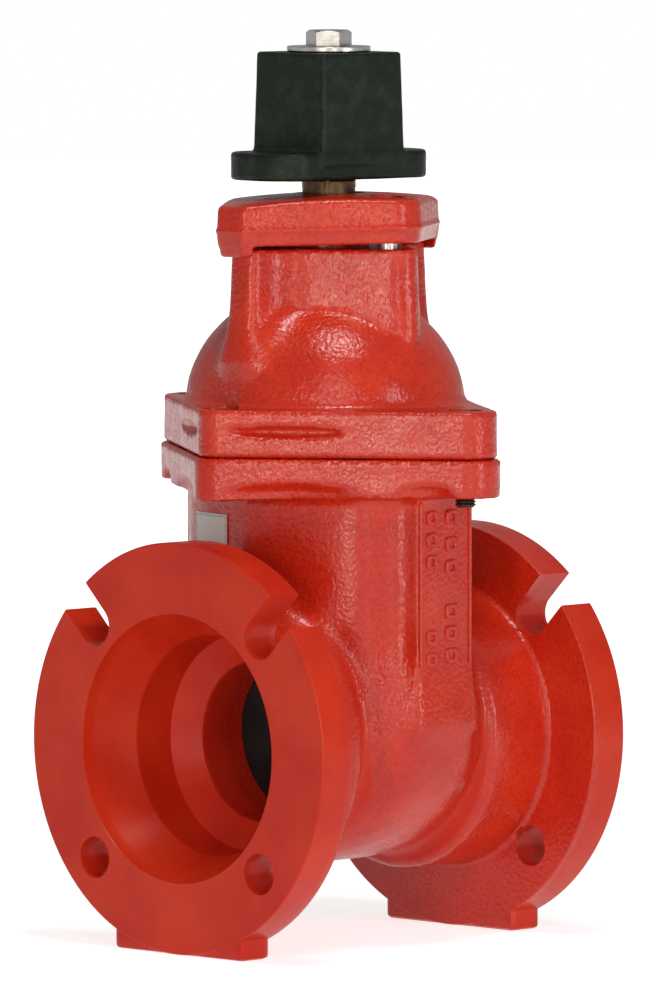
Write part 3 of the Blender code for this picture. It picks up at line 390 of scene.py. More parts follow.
def panel_relief(x, y, z):
    """A raised border and two columns of plain pads on the rib's outer faces."""
    face = RIB_Y
    away = np.abs(y)
    depth = between(away, face - 2.5, face + 1.0)
    relief = None
    strips = [(-17.2, 1.0, 38.0, 116.5), (16.2, 0.9, 38.0, 116.5)]
    pads = [(-9.6, row, 3.7) for row in PAD_ROWS_LEFT] + [(3.6, row, 4.1) for row in PAD_ROWS_RIGHT]
    mirrored_x = np.where(y < 0, x, -x)
    for centre, half, low, high in strips:
        shape = rounded_pair(between(mirrored_x, centre - half, centre + half), depth, 0.7)
        shape = rounded_pair(shape, between(z, low, high), 0.7)
        relief = shape if relief is None else np.minimum(relief, shape)
    for centre, row, half in pads:
        across = rounded_pair(
            between(mirrored_x, centre - half, centre + half), between(z, row - 3.6, row + 3.6), 2.2
        )
        hollow = rounded_pair(
            between(mirrored_x, centre - half + 2.3, centre + half - 2.3),
            between(z, row - 1.4, row + 1.4),
            1.0,
        )
        shape = rounded_pair(np.maximum(across, -hollow), depth, 0.6)
        relief = np.minimum(relief, shape)
    return relief


LUG_TANGENT = math.acos((LUG_Y_R - LUG_X_R) / math.hypot(LUG_X, LUG_Y)) - math.atan2(LUG_Y, LUG_X)


def wall_frame(x, y):
    """(distance along a flange wall from the lug on the X axis, distance outside the wall)."""
    p, q = np.abs(x), np.abs(y)
    cosine, sine = math.cos(LUG_TANGENT), math.sin(LUG_TANGENT)
    run = (LUG_X - p) * sine + q * cosine
    return run, p * cosine + q * sine - LUG_X * cosine - LUG_X_R


def flange_field(x, y, inset=0.0):
    """A rhombus drawn tight round a bolt lug at each end of both axes."""
    p, q = np.abs(x), np.abs(y)
    run, out = wall_frame(x, y)
    last = LUG_X * math.sin(LUG_TANGENT) + LUG_Y * math.cos(LUG_TANGENT)
    near_x = np.sqrt((p - LUG_X) ** 2 + q**2) - LUG_X_R
    near_y = np.sqrt(p**2 + (q - LUG_Y) ** 2) - LUG_Y_R
    return np.where(run < 0, near_x, np.where(run > last, near_y, out)) + inset


def lens_dent(run, out, z, centre_run, centre_z, radii):
    p = (run - centre_run) / radii[0]
    q = out / radii[1]
    r = (z - centre_z) / radii[2]
    return (np.sqrt(p * p + q * q + r * r) - 1.0) * min(radii)


def body_field(x, y, z):
    radius = np.sqrt(y * y + z * z)
    from_middle = np.abs(x)
    back = FACE_X - END_FLANGE_THICKNESS
    barrel = slab(radius - BARREL_R, x, -back, back, 1.0)
    bell = slab(radius - BELL_R, from_middle, BELL_END_X, back + 6.0, 4.0)
    ends = smooth_min(barrel, bell, 12.0)
    blunt_x = DRUM_RADII[0] * (from_middle / DRUM_RADII[0]) ** 1.7
    drum = ellipsoid(blunt_x, y, z, (0.0, 0.0, DRUM_CENTRE_Z), DRUM_RADII)
    drum = smooth_max(drum, z - 60.0, 4.0)
    neck = slab(oval_column(x, y, NECK_HALF, NECK_POWERS), z, -8.0, FLANGE_BOTTOM_Z + 6.0, 2.0)
    rib = box(
        x, y, z, (-RIB_HALF_X, -RIB_Y, RIB_BOTTOM_Z), (RIB_HALF_X, RIB_Y, FLANGE_BOTTOM_Z + 6.0), 2.2
    )
    trunk = smooth_min(neck, drum, 9.0)
    trunk = smooth_min(trunk, rib, 13.0)
    cast = smooth_min(trunk, ends, 9.0)
    thicker = 1.8 * (x / LUG_X) ** 2
    top_flange = slab(flange_field(x, y), z + thicker * (z < 128.0), FLANGE_BOTTOM_Z, PARTING_Z, 1.6)
    run, out = wall_frame(x, y)
    for centre_run, length in ((35.0, 26.0), (100.0, 11.0)):
        dent = lens_dent(run, out, z, centre_run, FLANGE_BOTTOM_Z + 1.6, (length, 5.0, 4.2))
        top_flange = smooth_max(top_flange, -dent, 2.2)
    cast = smooth_min(cast, top_flange, 5.0)
    disc = slab(radius - END_FLANGE_R + 2.0, from_middle, back + 0.3, FACE_X - 1.0, 1.3)
    cast = smooth_min(cast, disc, 4.5)
    for side in (-1, 1):
        inner, outer = back + 0.8, FACE_X - 0.8
        low_x, high_x = sorted((side * inner, side * outer))
        foot = box(x, y, z, (low_x, -FOOT_HALF_Y, -AXIS_Z), (high_x, FOOT_HALF_Y, FOOT_ROOT_Z), 2.2)
        cast = smooth_min(cast, foot, 1.0)
    rough = np.clip((back - from_middle) / 5.0, 0.0, 1.0) * np.clip((PARTING_Z - 2.0 - z) / 4.0, 0.0, 1.0)
    return cast + waviness(x, y, z, 0.16) * rough


def bore_cutter():
    right = [(FACE_X + depth, radius) for depth, radius in SOCKET_PROFILE]
    left = [(-x, radius) for x, radius in right]
    return lathe("bore", left + right[::-1], 128, along_x=True)


def end_hole_cutters():
    made = []
    middle = FACE_X - END_FLANGE_THICKNESS / 2
    reach = END_FLANGE_THICKNESS / 2 + 2.6
    leg = BOLT_CIRCLE_R * math.sqrt(0.5)
    for side, y_sign in itertools.product((-1, 1), repeat=2):
        outline = []
        for i in range(25):
            angle = math.pi * i / 24 + math.pi / 2
            outline.append((BOLT_HOLE_R * math.cos(angle), BOLT_HOLE_R * math.sin(angle)))
        outline += [(36.0, -BOLT_HOLE_R), (36.0, BOLT_HOLE_R)]
        turn = math.radians(45.0 if y_sign > 0 else 135.0)
        placed = []
        for along, across in outline:
            y = along * math.cos(turn) - across * math.sin(turn) + y_sign * leg
            z = along * math.sin(turn) + across * math.cos(turn) + leg
            placed.append((y, z))
        rings = [[(side * middle + shift, y, z) for y, z in placed] for shift in (-reach, reach)]
        made.append(prism("slot", rings))
        low, high = side * middle - reach, side * middle + reach
        hole = lathe("hole", ((low, BOLT_HOLE_R), (high, BOLT_HOLE_R)), 48, along_x=True)
        hole.data.transform(Matrix.Translation((0.0, y_sign * leg * MM, -leg * MM)))
        made.append(hole)
    return made


def chamber_cutters():
    turns = [math.pi + math.pi * i / 40 for i in range(41)]
    profile = [(POCKET_R * math.cos(turn), POCKET_R * math.sin(turn)) for turn in turns]
    profile += [(POCKET_R, POCKET_TOP_Z), (-POCKET_R, POCKET_TOP_Z)]
    faces = []
    for side in (-1, 1):
        faces.append([(side * (POCKET_HALF_X + z * WEDGE_SLOPE), y, z) for y, z in profile])
    pocket = prism("pocket", faces)
    inner = (NECK_HALF[0] - WALL, NECK_HALF[1] - WALL)
    levels = ((-6.0, 52.0), (0.0, POCKET_TOP_Z), (0.0, PARTING_Z + 5.0))
    rings = [oval_ring(inner[0] + grow, inner[1] + grow, z, NECK_POWERS) for grow, z in levels]
    hollow = prism("hollow", rings)
    return [pocket, hollow, plain_box("channel", (-8.0, -70.0, 2.0), (8.0, 70.0, PARTING_Z + 6.0))]


def oval_ring(half_x, half_y, z, powers=(2.0, 2.0), steps=72):
    ring = []
    for i in range(steps):
        angle = 2 * math.pi * (i + 0.5) / steps
        cosine, sine = math.cos(angle), math.sin(angle)
        x = half_x * math.copysign(abs(cosine) ** (2 / powers[0]), cosine)
        y = half_y * math.copysign(abs(sine) ** (2 / powers[1]), sine)
        ring.append((x, y, z))
    return ring


def plain_box(name, low, high):
    outline = ((low[0], low[1]), (high[0], low[1]), (high[0], high[1]), (low[0], high[1]))
    return prism(name, [[(x, y, z) for x, y in outline] for z in (low[2], high[2])])


def end_disc(side):
    """An end flange's disc, whose rim is crisper than the cast skin."""
    back = FACE_X - END_FLANGE_THICKNESS
    rim = [(back, RIM_EDGE), (back + 0.3 * RIM_EDGE, 0.3 * RIM_EDGE), (back + RIM_EDGE, 0.0)]
    rim += [(FACE_X - RIM_EDGE, 0.0), (FACE_X - 0.3 * RIM_EDGE, 0.3 * RIM_EDGE), (FACE_X, RIM_EDGE)]
    profile = [(side * along, END_FLANGE_R - short) for along, short in rim]
    return lathe("disc", profile, 192, along_x=True)


def groove_cutter():
    """The gasket's oval groove in the body's top face."""
    low, high = PARTING_Z - 4.0, PARTING_Z + 2.0
    outer_half = [middle + GROOVE_HALF for middle in GROOVE_MID]
    inner_half = [middle - GROOVE_HALF for middle in GROOVE_MID]
    groove = prism("groove", [oval_ring(*outer_half, z) for z in (low, high)])
    core = prism("groove_core", [oval_ring(*inner_half, z) for z in (low - 1, high + 1)])
    subtract(groove, [core])
    return groove


def make_body(look):
    body = net_mesh("body_casting", body_field, (-106, -110, -102), (106, 110, 141), 1.9, "valve_body")
    for side in (-1, 1):
        unite(body, end_disc(side))
    for low_y, high_y in ((-82.0, -74.0), (74.0, 82.0)):
        relief = net_mesh("relief", panel_relief, (-20.0, low_y, 34.0), (20.0, high_y, 121.0), 0.7)
        unite(body, relief)
    cutters = [bore_cutter(), *end_hole_cutters(), *chamber_cutters()]
    for at in BONNET_BOLTS:
        low = BLIND_HOLE_FLOOR_Z if at[0] else FLANGE_BOTTOM_Z - 5.0
        cutters.append(upright("tapping", at, TAPPING_R, low, PARTING_Z + 2.0))
    cutters.append(groove_cutter())
    subtract(body, cutters)
    return finish_piece(body, look, "root", ["valve_body"])


# Bonnet casting


def bonnet_field(x, y, z):
    flange = slab(flange_field(x, y, BONNET_INSET), z, PARTING_Z + GAP, BONNET_TOP_Z, 2.0)
    run, out = wall_frame(x, y)
    slot = lens_dent(run, out + BONNET_INSET, z, 33.0, 150.0, (26.0, 4.6, 2.7))
    flange = smooth_max(flange, -slot, 0.7)
    dome = ellipsoid(x, y, z, (0.0, DOME_SHIFT_Y, DOME_CENTRE_Z), DOME_RADII)
    dome = smooth_max(dome, BONNET_TOP_Z - 14.0 - z, 1.0)
    grown = 1.0 + NECK_TAPER * (NECK_TOP_Z - z) / (NECK_TOP_Z - NECK_FOOT_Z)
    p, q = x / grown, y / grown
    tab = rounded_pair(np.abs(p) - TAB_END_X, np.abs(q) - TAB_HALF_Y, 5.5)
    wall = np.abs(p) * NECK_WALL_NORMAL[0] + np.abs(q) * NECK_WALL_NORMAL[1] - NECK_WALL_REACH
    diamond = smooth_max(wall, np.abs(q) - NECK_APEX_Y, 7.0)
    neck = smooth_min(tab, diamond, 13.0) * grown
    neck = slab(neck, z, NECK_FOOT_Z - 6.0, NECK_TOP_Z, 1.6)
    tab = slab(tab * grown, z, NECK_FOOT_Z + 10.0, NECK_TOP_Z, 1.6)
    top = smooth_min(smooth_min(dome, tab, 18.0), smooth_min(dome, neck, 3.0), 2.0)
    cast = smooth_min(top, flange, 4.5)
    rough = np.clip((z - PARTING_Z - 3.0) / 4.0, 0.0, 1.0) * np.clip((NECK_TOP_Z - 1.0 - z) / 4.0, 0.0, 1.0)
    return cast + waviness(x, y, z, 0.16) * rough


def make_bonnet(look):
    bonnet = net_mesh("bonnet_casting", bonnet_field, (-92, -116, 134), (92, 116, 239), 1.7, "bonnet")
    rings = [oval_ring(*HOLLOW_HALF, PARTING_Z - 2.0)]
    for i in range(13):
        tilt = math.radians(85.0) * i / 12
        half = [reach * math.cos(tilt) for reach in HOLLOW_HALF]
        rings.append(oval_ring(*half, HOLLOW_RISE_Z + HOLLOW_RISE * math.sin(tilt)))
    cutters = [prism("hollow", rings), upright("stem_bore", (0, 0), STEM_BORE_R, 170.0, 240.0, 64)]
    cutters.append(upright("thrust_bore", (0, 0), 19.6, 214.0, 241.0, 64))
    for at in BONNET_BOLTS:
        cutters.append(upright("clearance", at, CLEARANCE_R, 130.0, 151.0))
        cutters.append(upright("counterbore", at, COUNTERBORE_R, COUNTERBORE_FLOOR_Z, COUNTERBORE_CUT_TOP_Z))
    for side in (-1, 1):
        cutters.append(upright("seal_tapping", (0.0, side * SEAL_BOLT_Y), TAPPING_R, 211.0, 240.0))
    subtract(bonnet, cutters)
    return finish_piece(bonnet, look, "root", ["bonnet"])


# Seal plate


def plate_field(x, y, z):
    z = z + PLATE_TILT * y
    above = np.maximum(z - PLATE_RIDGE_Z, 0.0)
    below = np.maximum(PLATE_RIDGE_Z - z, 0.0)
    ridge = 0.6 * np.exp(-(((z - PLATE_RIDGE_Z) / 1.1) ** 2))
    outline = blunt_diamond(x, y, (PLATE_END_X, PLATE_APEX_Y), (6.0, 8.8), 2.4)
    side = outline + above * 0.05 + below * 0.16 - ridge + 0.4
    drop = PLATE_EDGE_DROP * (x / PLATE_END_X) ** 2
    crown = z - (PLATE_CROWN_Z - drop - PLATE_APEX_DROP * (y / PLATE_APEX_Y) ** 2)
    plate = smooth_max(smooth_max(side, crown, 2.6), PLATE_UNDERSIDE_Z - z, 1.6)
    lip = smooth_max(smooth_max(side, PLATE_EAR_Z - z, 1.8), PLATE_EAR_X - np.abs(x), 1.8)
    lip = np.maximum(lip, z - PLATE_LIP_TOP_Z)
    cast = smooth_min(plate, lip, 1.6)
    return cast + waviness(x, y, z, 0.12) * np.clip((z - PLATE_ROUGH_Z) / 3.0, 0.0, 1.0)


def make_plate(look):
    plate = net_mesh("seal_plate_casting", plate_field, (-71, -60, 230), (71, 60, 264), 0.95, "seal_plate")
    spigot = [(228.0, 18.7), (228.6, 19.3), (231.0, 19.3), (231.0, 17.0), (234.2, 17.0)]
    spigot += [(234.2, 19.3), (242.0, 19.3)]
    unite(plate, lathe("spigot", spigot, 96))
    cutters = [upright("bore", (0, 0), STEM_BORE_R, 220.0, 270.0, 96)]
    cutters.append(upright("wiper_seat", (0, 0), 17.3, 256.0, 270.0, 96))
    for side in (-1, 1):
        at = (0.0, side * SEAL_BOLT_Y)
        cutters.append(upright("clearance", at, CLEARANCE_R, 230.0, 270.0))
        cutters.append(upright("counterbore", at, COUNTERBORE_R, PLATE_COUNTERBORE_Z, 270.0))
    subtract(plate, cutters)
    return finish_piece(plate, look, "root", ["seal_plate"])


# Operating nut


def nut_field(x, y, z):
    p = x * math.cos(NUT_YAW) + y * math.sin(NUT_YAW)
    q = -x * math.sin(NUT_YAW) + y * math.cos(NUT_YAW)
    half = NUT_HALF
    along = Vector((NUT_BASE_HALF_X - NUT_BEVEL_X, NUT_BASE_END_HALF_Y - half)).normalized()
    bevel = (np.abs(p) - NUT_BEVEL_X) * -along.y + (np.abs(q) - half) * along.x
    base = smooth_max(smooth_max(np.abs(p) - NUT_BASE_HALF_X, np.abs(q) - half, 1.2), bevel, 5.0)
    base = slab(base, z, NUT_BOTTOM_Z, NUT_BASE_TOP_Z, 1.7)
    shrink = 1.15 * (z - NUT_BASE_TOP_Z) / (NUT_TOP_Z - NUT_BASE_TOP_Z) - 0.5
    drive = rounded_pair(np.abs(p) - half + shrink, np.abs(q) - half + shrink, 1.5)
    drive = slab(drive, z, NUT_BASE_TOP_Z - 6.0, NUT_TOP_Z, 1.5)
    nut = smooth_min(base, drive, 2.6)
    return nut + waviness(x, y, z, 0.05)


def make_nut(look):
    nut = net_mesh("operating_nut_casting", nut_field, (-55, -34, 264), (55, 34, 331), 1.15, "operating_nut")
    half = NUT_SOCKET_HALF
    socket = plain_box("socket", (-half, -half, 260.0), (half, half, 335.0))
    socket.data.transform(Matrix.Rotation(NUT_YAW, 4, "Z"))
    subtract(nut, [socket])
    return finish_piece(nut, look, "stem", ["operating_nut"])


# Turned and bought-in pieces

THREAD_STEPS = 48
THREAD_LEAD = 8.0


def stem_radius(angle_steps, z):
    """The thread's radius at a turn position and height: a left-handed trapezoid with faded ends."""
    start, core, depth, turns = 43.0, 9.6, 3.0, 14
    phase = (z - start) / THREAD_LEAD - angle_steps
    share = phase - np.floor(phase)
    turn = np.floor(phase) + angle_steps
    flank = np.minimum(np.clip((share - 0.38) / 0.12, 0.0, 1.0), np.clip((1.0 - share) / 0.12, 0.0, 1.0))
    fade = np.clip(np.minimum(turn, turns - turn), 0.0, 1.0)
    return core + depth * flank * fade


def make_stem(look):
    collar = COLLAR_R - COLLAR_EDGE
    levels = [(40.0, 8.1, False), (41.5, 9.6, False)]
    levels += [(42.0 + 0.5 * i, 0.0, True) for i in range(242)]
    levels += [(166.0, 9.6, False), (170.0, STEM_R, False), *groove_levels(199.0)]
    levels += [(216.6, STEM_R, False), (217.0, STEM_R, False), (217.0, collar, False)]
    levels += [(217.4, COLLAR_R, False), (224.6, COLLAR_R, False)]
    levels += [(225.0, collar, False), (225.0, STEM_R, False)]
    levels += [*groove_levels(243.0), *groove_levels(250.0)]
    levels += [(266.4, STEM_R, False), (267.4, STEM_R - 1.0, False)]
    rings = []
    for z, radius, threaded in levels:
        ring = []
        for i in range(THREAD_STEPS):
            share = i / THREAD_STEPS
            angle = -2 * math.pi * share
            r = float(stem_radius(share, z)) if threaded else radius
            ring.append((r * math.cos(angle), r * math.sin(angle), z))
        rings.append(ring)
    stem = prism("stem_turned", rings)
    ends = ((STEM_SQUARE_HALF, 263.4), (STEM_SQUARE_HALF, 324.2), (8.9, 325.0))
    square = prism("square", [square_ring(half, z) for half, z in ends])
    square.data.transform(Matrix.Rotation(NUT_YAW, 4, "Z"))
    unite(stem, square)
    subtract(stem, [upright("tapping", (0, 0), 6.3, 298.0, 327.0)])
    return finish_piece(stem, look, "stem", ["stem"], 35.0)


def groove_levels(level):
    half, floor = 1.55, 10.4
    bottom = [(level - half, STEM_R, False), (level - half, floor, False)]
    return bottom + [(level + half, floor, False), (level + half, STEM_R, False)]


def square_ring(half, z, corner=1.2, steps=5):
    ring = []
    for quarter in range(4):
        middle = math.radians(45 + 90 * quarter)
        cx = math.copysign(half - corner, math.cos(middle))
        cy = math.copysign(half - corner, math.sin(middle))
        for i in range(steps):
            angle = math.radians(90 * quarter + 90 * i / (steps - 1))
            ring.append((cx + corner * math.cos(angle), cy + corner * math.sin(angle), z))
    return ring


def hexagon_ring(across, z, turn=0.0):
    radius = across / math.sqrt(3)
    return [
        (radius * math.cos(turn + math.pi * i / 3), radius * math.sin(turn + math.pi * i / 3), z)
        for i in range(6)
    ]


def make_hex_bolt(look):
    low = NUT_TOP_Z + GAP + WASHER_HEIGHT + GAP
    high = low + HEX_HEIGHT
    turn = math.radians(12.0)
    head = [hexagon_ring(HEX_ACROSS, z, turn) for z in (low, high)]
    bolt = prism("operating_nut_screw", head)
    reach = HEX_ACROSS / math.sqrt(3)
    cone = ((low - 1.0, reach + 1.0), (high - 1.7, reach + 1.0), (high, 9.2), (high + 0.2, 9.0))
    combine(bolt, "INTERSECT", [lathe("chamfer_cone", cone, 96)])
    unite(bolt, lathe("shank", ((302.0, 5.2), (302.8, 6.0), (low + 2.0, 6.0)), 48))
    finish_piece(bolt, look, "stem", ["operating_nut_bolt"], 25.0)


def make_washer(look):
    low = NUT_TOP_Z + GAP
    high = low + WASHER_HEIGHT
    edge = 0.35
    profile = [(low, WASHER_BORE_R), (low, WASHER_R - edge), (low + edge, WASHER_R)]
    profile += [(high - edge, WASHER_R), (high, WASHER_R - edge)]
    profile += [(high, WASHER_BORE_R + edge), (high - edge, WASHER_BORE_R)]
    washer = lathe("operating_nut_ring", profile, 96, ring=True)
    finish_piece(washer, look, "stem", ["operating_nut_washer"], 30.0)


def make_screw(node, at, look):
    """A socket-head screw as tall as its CAD node, with plain rings for its thread."""
    low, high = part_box(node)
    tip, top = low.z / MM - AXIS_Z, high.z / MM - AXIS_Z
    seat = top - SCREW_HEAD_HEIGHT
    profile = [(tip, 4.0)]
    for turn in range(5):
        start = tip + 0.5 + SCREW_PITCH * turn
        profile += [(start, SCREW_ROOT_R), (start + 0.6, SCREW_R), (start + 0.85, SCREW_R)]
    profile += [(tip + 8.5, 4.6), (seat, 4.6), (seat, SCREW_HEAD_R - 0.2), (seat + 0.2, SCREW_HEAD_R)]
    profile += [(top - 0.8, SCREW_HEAD_R), (top - 0.25, SCREW_HEAD_R - 0.2), (top, 7.2)]
    screw = lathe(node + "_screw", profile, 48)
    key = prism("key", [hexagon_ring(SCREW_KEY, z) for z in (top - SCREW_KEY_DEPTH, top + 1.0)])
    for piece in (screw, key):
        piece.data.transform(Matrix.Translation((at[0] * MM, at[1] * MM, 0.0)))
    subtract(screw, [key])
    finish_piece(screw, look, "root", [node], 30.0)


def make_screws(zinc, shaded_zinc):
    # The bonnet screws take the darkened copy of zinc steel, which paints shade on them; the seal-plate
    # screws stay plain zinc.
    for i, at in enumerate(BONNET_BOLTS):
        make_screw(f"bonnet_bolt_{i + 1}", at, shaded_zinc)
    for i, side in enumerate((-1, 1)):
        make_screw(f"seal_plate_bolt_{i + 1}", (0.0, side * SEAL_BOLT_Y), zinc)


# Materials


class Nodes:
    """A short way to build one material's node tree."""

    def __init__(self, name):
        self.material = bpy.data.materials.new(name)
        self.material.use_nodes = True
        self.tree = self.material.node_tree
        self.shader = self.tree.nodes["Principled BSDF"]
        self.place = self.node("ShaderNodeTexCoord").outputs["Object"]

    def node(self, kind, **settings):
        made = self.tree.nodes.new(kind)
        for key, value in settings.items():
            setattr(made, key, value)
        return made

    def feed(self, socket, value):
        if hasattr(value, "links"):
            self.tree.links.new(value, socket)
        elif isinstance(value, tuple) and len(value) == 3 and socket.type == "RGBA":
            socket.default_value = (*value, 1.0)
        else:
            socket.default_value = value

    def noise(self, size_mm, detail=2.0, roughness=0.5, vector=None):
        made = self.node("ShaderNodeTexNoise")
        self.feed(made.inputs["Vector"], vector or self.place)
        made.inputs["Scale"].default_value = 1000.0 / size_mm
        made.inputs["Detail"].default_value = detail
        made.inputs["Roughness"].default_value = roughness
        return made.outputs["Fac"]

    def cells(self, size_mm, feature="SMOOTH_F1"):
        made = self.node("ShaderNodeTexVoronoi", feature=feature)
        self.feed(made.inputs["Vector"], self.place)
        made.inputs["Scale"].default_value = 1000.0 / size_mm
        return made.outputs["Distance"]

    def math(self, operation, first, second=0.5, third=None):
        made = self.node("ShaderNodeMath", operation=operation)
        self.feed(made.inputs[0], first)
        self.feed(made.inputs[1], second)
        if third is not None:
            self.feed(made.inputs[2], third)
        return made.outputs[0]

    def ramp(self, value, low, high, to_low=0.0, to_high=1.0):
        made = self.node("ShaderNodeMapRange", clamp=True)
        for socket, given in zip(made.inputs[:5], (value, low, high, to_low, to_high)):
            self.feed(socket, given)
        return made.outputs[0]

    def mix(self, share, first, second):
        made = self.node("ShaderNodeMix", data_type="RGBA")
        self.feed(made.inputs[0], share)
        self.feed(made.inputs[6], first)
        self.feed(made.inputs[7], second)
        return made.outputs[2]

    def bump(self, height, distance_mm, strength=1.0, under=None):
        made = self.node("ShaderNodeBump")
        self.feed(made.inputs["Height"], height)
        made.inputs["Distance"].default_value = distance_mm * MM
        self.feed(made.inputs["Strength"], strength)
        if under is not None:
            self.feed(made.inputs["Normal"], under)
        return made.outputs["Normal"]

    def set(self, **values):
        for key, value in values.items():
            self.feed(self.shader.inputs[key.replace("_", " ")], value)
        return self.material


def red_epoxy():
    """Glossy fusion-bonded epoxy over a sand-cast skin; smooth where the iron was machined first."""
    n = Nodes("red_epoxy_coat")
    parts = n.node("ShaderNodeSeparateXYZ")
    n.feed(parts.inputs[0], n.place)
    away = n.math("ABSOLUTE", parts.outputs[0])
    up = n.math("SUBTRACT", parts.outputs[2], AXIS_Z * MM)
    radius = n.math("SQRT", n.math("ADD", n.math("POWER", parts.outputs[1], 2.0), n.math("POWER", up, 2.0)))
    back = FACE_X - END_FLANGE_THICKNESS
    end_face = n.ramp(away, (back + 1.0) * MM, (back + 5.0) * MM)
    socket_side = n.math("MULTIPLY", n.ramp(radius, 0.0650, 0.0640), n.ramp(away, 0.030, 0.034))
    smooth = n.math("MAXIMUM", end_face, socket_side)
    grain = n.noise(2.0, 2.0, 0.5)
    pits = n.cells(1.8)
    drift = n.noise(38.0, 3.0, 0.55)
    fine = n.noise(0.8, 1.0, 0.5)
    skin = n.math("ADD", grain, n.math("MULTIPLY", pits, 0.55))
    lathe_marks = n.math("SINE", n.math("MULTIPLY", radius, 2 * math.pi / (0.9 * MM)))
    patchy = n.ramp(n.noise(60.0, 2.0, 0.5), 0.35, 0.7, 0.55, 1.25)
    coarse_strength = n.math("MULTIPLY", n.ramp(smooth, 0.0, 1.0, 1.0, 0.05), patchy)
    normal = n.bump(skin, 0.30, coarse_strength)
    normal = n.bump(lathe_marks, 0.004, n.math("MULTIPLY", smooth, 0.5), normal)
    normal = n.bump(fine, 0.03, 0.5, normal)
    deep, bright = (0.61, 0.024, 0.008), (0.71, 0.042, 0.011)
    colour = n.mix(n.ramp(drift, 0.35, 0.68), deep, bright)
    # Painted shade: the skin's pits and low grain are darkened towards a deep red, up to 0.45 on the cast
    # skin and not at all on machined faces.
    hollow = n.math("MULTIPLY", n.ramp(skin, 0.85, 0.5), n.ramp(smooth, 0.0, 1.0, 0.45, 0.0))
    colour = n.mix(hollow, colour, (0.42, 0.009, 0.004))
    gloss = n.ramp(n.noise(9.0, 2.0, 0.6), 0.3, 0.7, 0.20, 0.30)
    roughness = n.math("ADD", gloss, n.math("MULTIPLY", smooth, 0.06))
    shine = n.ramp(smooth, 0.0, 1.0, 0.46, 0.24)
    return n.set(Base_Color=colour, Roughness=roughness, Normal=normal, Specular_IOR_Level=shine)


def black_iron():
    """Dark coated iron with a green-black tone, dusty patches and rubbed spots."""
    n = Nodes("black_iron_coat")
    patches = n.ramp(n.noise(9.0, 4.0, 0.6), 0.45, 0.72)
    specks = n.ramp(n.noise(1.3, 3.0, 0.7), 0.66, 0.76)
    colour = n.mix(patches, (0.004, 0.009, 0.004), (0.014, 0.025, 0.013))
    colour = n.mix(n.math("MULTIPLY", specks, 0.5), colour, (0.12, 0.14, 0.11))
    height = n.math("ADD", n.noise(2.4, 3.0, 0.6), n.math("MULTIPLY", n.noise(0.8, 2.0, 0.5), 0.5))
    roughness = n.ramp(n.noise(5.0, 3.0, 0.6), 0.3, 0.75, 0.34, 0.56)
    normal = n.bump(height, 0.22, 0.9)
    return n.set(Base_Color=colour, Roughness=roughness, Normal=normal, Specular_IOR_Level=0.2)


def turned_metal(name, dark, light, roughness, metallic, ring_mm=0.5):
    """A turned metal whose fine marks run round the upright axis."""
    n = Nodes(name)
    stretch = n.node("ShaderNodeMapping")
    n.feed(stretch.inputs["Vector"], n.place)
    stretch.inputs["Scale"].default_value = (0.08, 0.08, 1.0)
    marks = n.noise(ring_mm, 3.0, 0.6, stretch.outputs[0])
    stain = n.ramp(n.noise(7.0, 4.0, 0.65), 0.35, 0.7)
    colour = n.mix(stain, dark, light)
    rough = n.ramp(marks, 0.3, 0.7, roughness - 0.08, roughness + 0.1)
    return n.set(Base_Color=colour, Roughness=rough, Metallic=metallic, Normal=n.bump(marks, 0.02, 0.7))


def soft_material(name, dark, light, roughness, size_mm, depth_mm):
    """A moulded material with a fine even grain and slow tone changes."""
    n = Nodes(name)
    colour = n.mix(n.ramp(n.noise(12.0, 3.0, 0.6), 0.3, 0.7), dark, light)
    rough = n.ramp(n.noise(6.0, 2.0, 0.5), 0.3, 0.7, roughness - 0.06, roughness + 0.08)
    normal = n.bump(n.noise(size_mm, 3.0, 0.6), depth_mm, 0.7)
    return n.set(Base_Color=colour, Roughness=rough, Normal=normal, Specular_IOR_Level=0.25)


def label_film():
    """A blank printed film with a thin grey rule near its edge."""
    n = Nodes("label_film")
    low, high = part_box("inspection_label")
    parts = n.node("ShaderNodeSeparateXYZ")
    n.feed(parts.inputs[0], n.place)
    inset = 1.1 * MM
    across = n.math("ABSOLUTE", n.math("SUBTRACT", parts.outputs[1], (low.y + high.y) / 2))
    upward = n.math("ABSOLUTE", n.math("SUBTRACT", parts.outputs[2], (low.z + high.z) / 2))
    side = n.math("SUBTRACT", (high.y - low.y) / 2 - inset, across)
    ends = n.math("SUBTRACT", (high.z - low.z) / 2 - inset, upward)
    rule = n.ramp(n.math("ABSOLUTE", n.math("MINIMUM", side, ends)), 0.25 * MM, 0.40 * MM, 1.0, 0.0)
    paper = n.mix(n.noise(6.0, 3.0, 0.6), (0.72, 0.74, 0.72), (0.82, 0.84, 0.82))
    colour = n.mix(n.math("MULTIPLY", rule, 0.7), paper, (0.30, 0.31, 0.31))
    return n.set(Base_Color=colour, Roughness=0.36, Normal=n.bump(n.noise(1.2, 2.0, 0.5), 0.01, 0.5))


def dress_nodes(looks):
    """The CAD nodes that keep their own mesh get the detailed materials."""
    slots = {entry["node"]: entry["material_slot"] for entry in frame["record"]["subparts"]}
    for name, node in frame["nodes"].items():
        look = looks[slots[name]]
        if not node.material_slots:
            node.data.materials.append(look)
        for slot in node.material_slots:
            slot.material = look


# Studio: metres

WARM = (1.0, 0.90, 0.78)
FLOOR_R = 9.0


def area_light(name, at, target, size, power, colour=(1.0, 1.0, 1.0)):
    data = bpy.data.lights.new(name, "AREA")
    data.shape = "RECTANGLE"
    data.size, data.size_y = size
    data.energy = power
    data.color = colour
    made = bpy.data.objects.new(name, data)
    made.location = at
    made.rotation_mode = "QUATERNION"
    made.rotation_quaternion = (Vector(target) - Vector(at)).to_track_quat("-Z", "Y")
    bpy.context.scene.collection.objects.link(made)


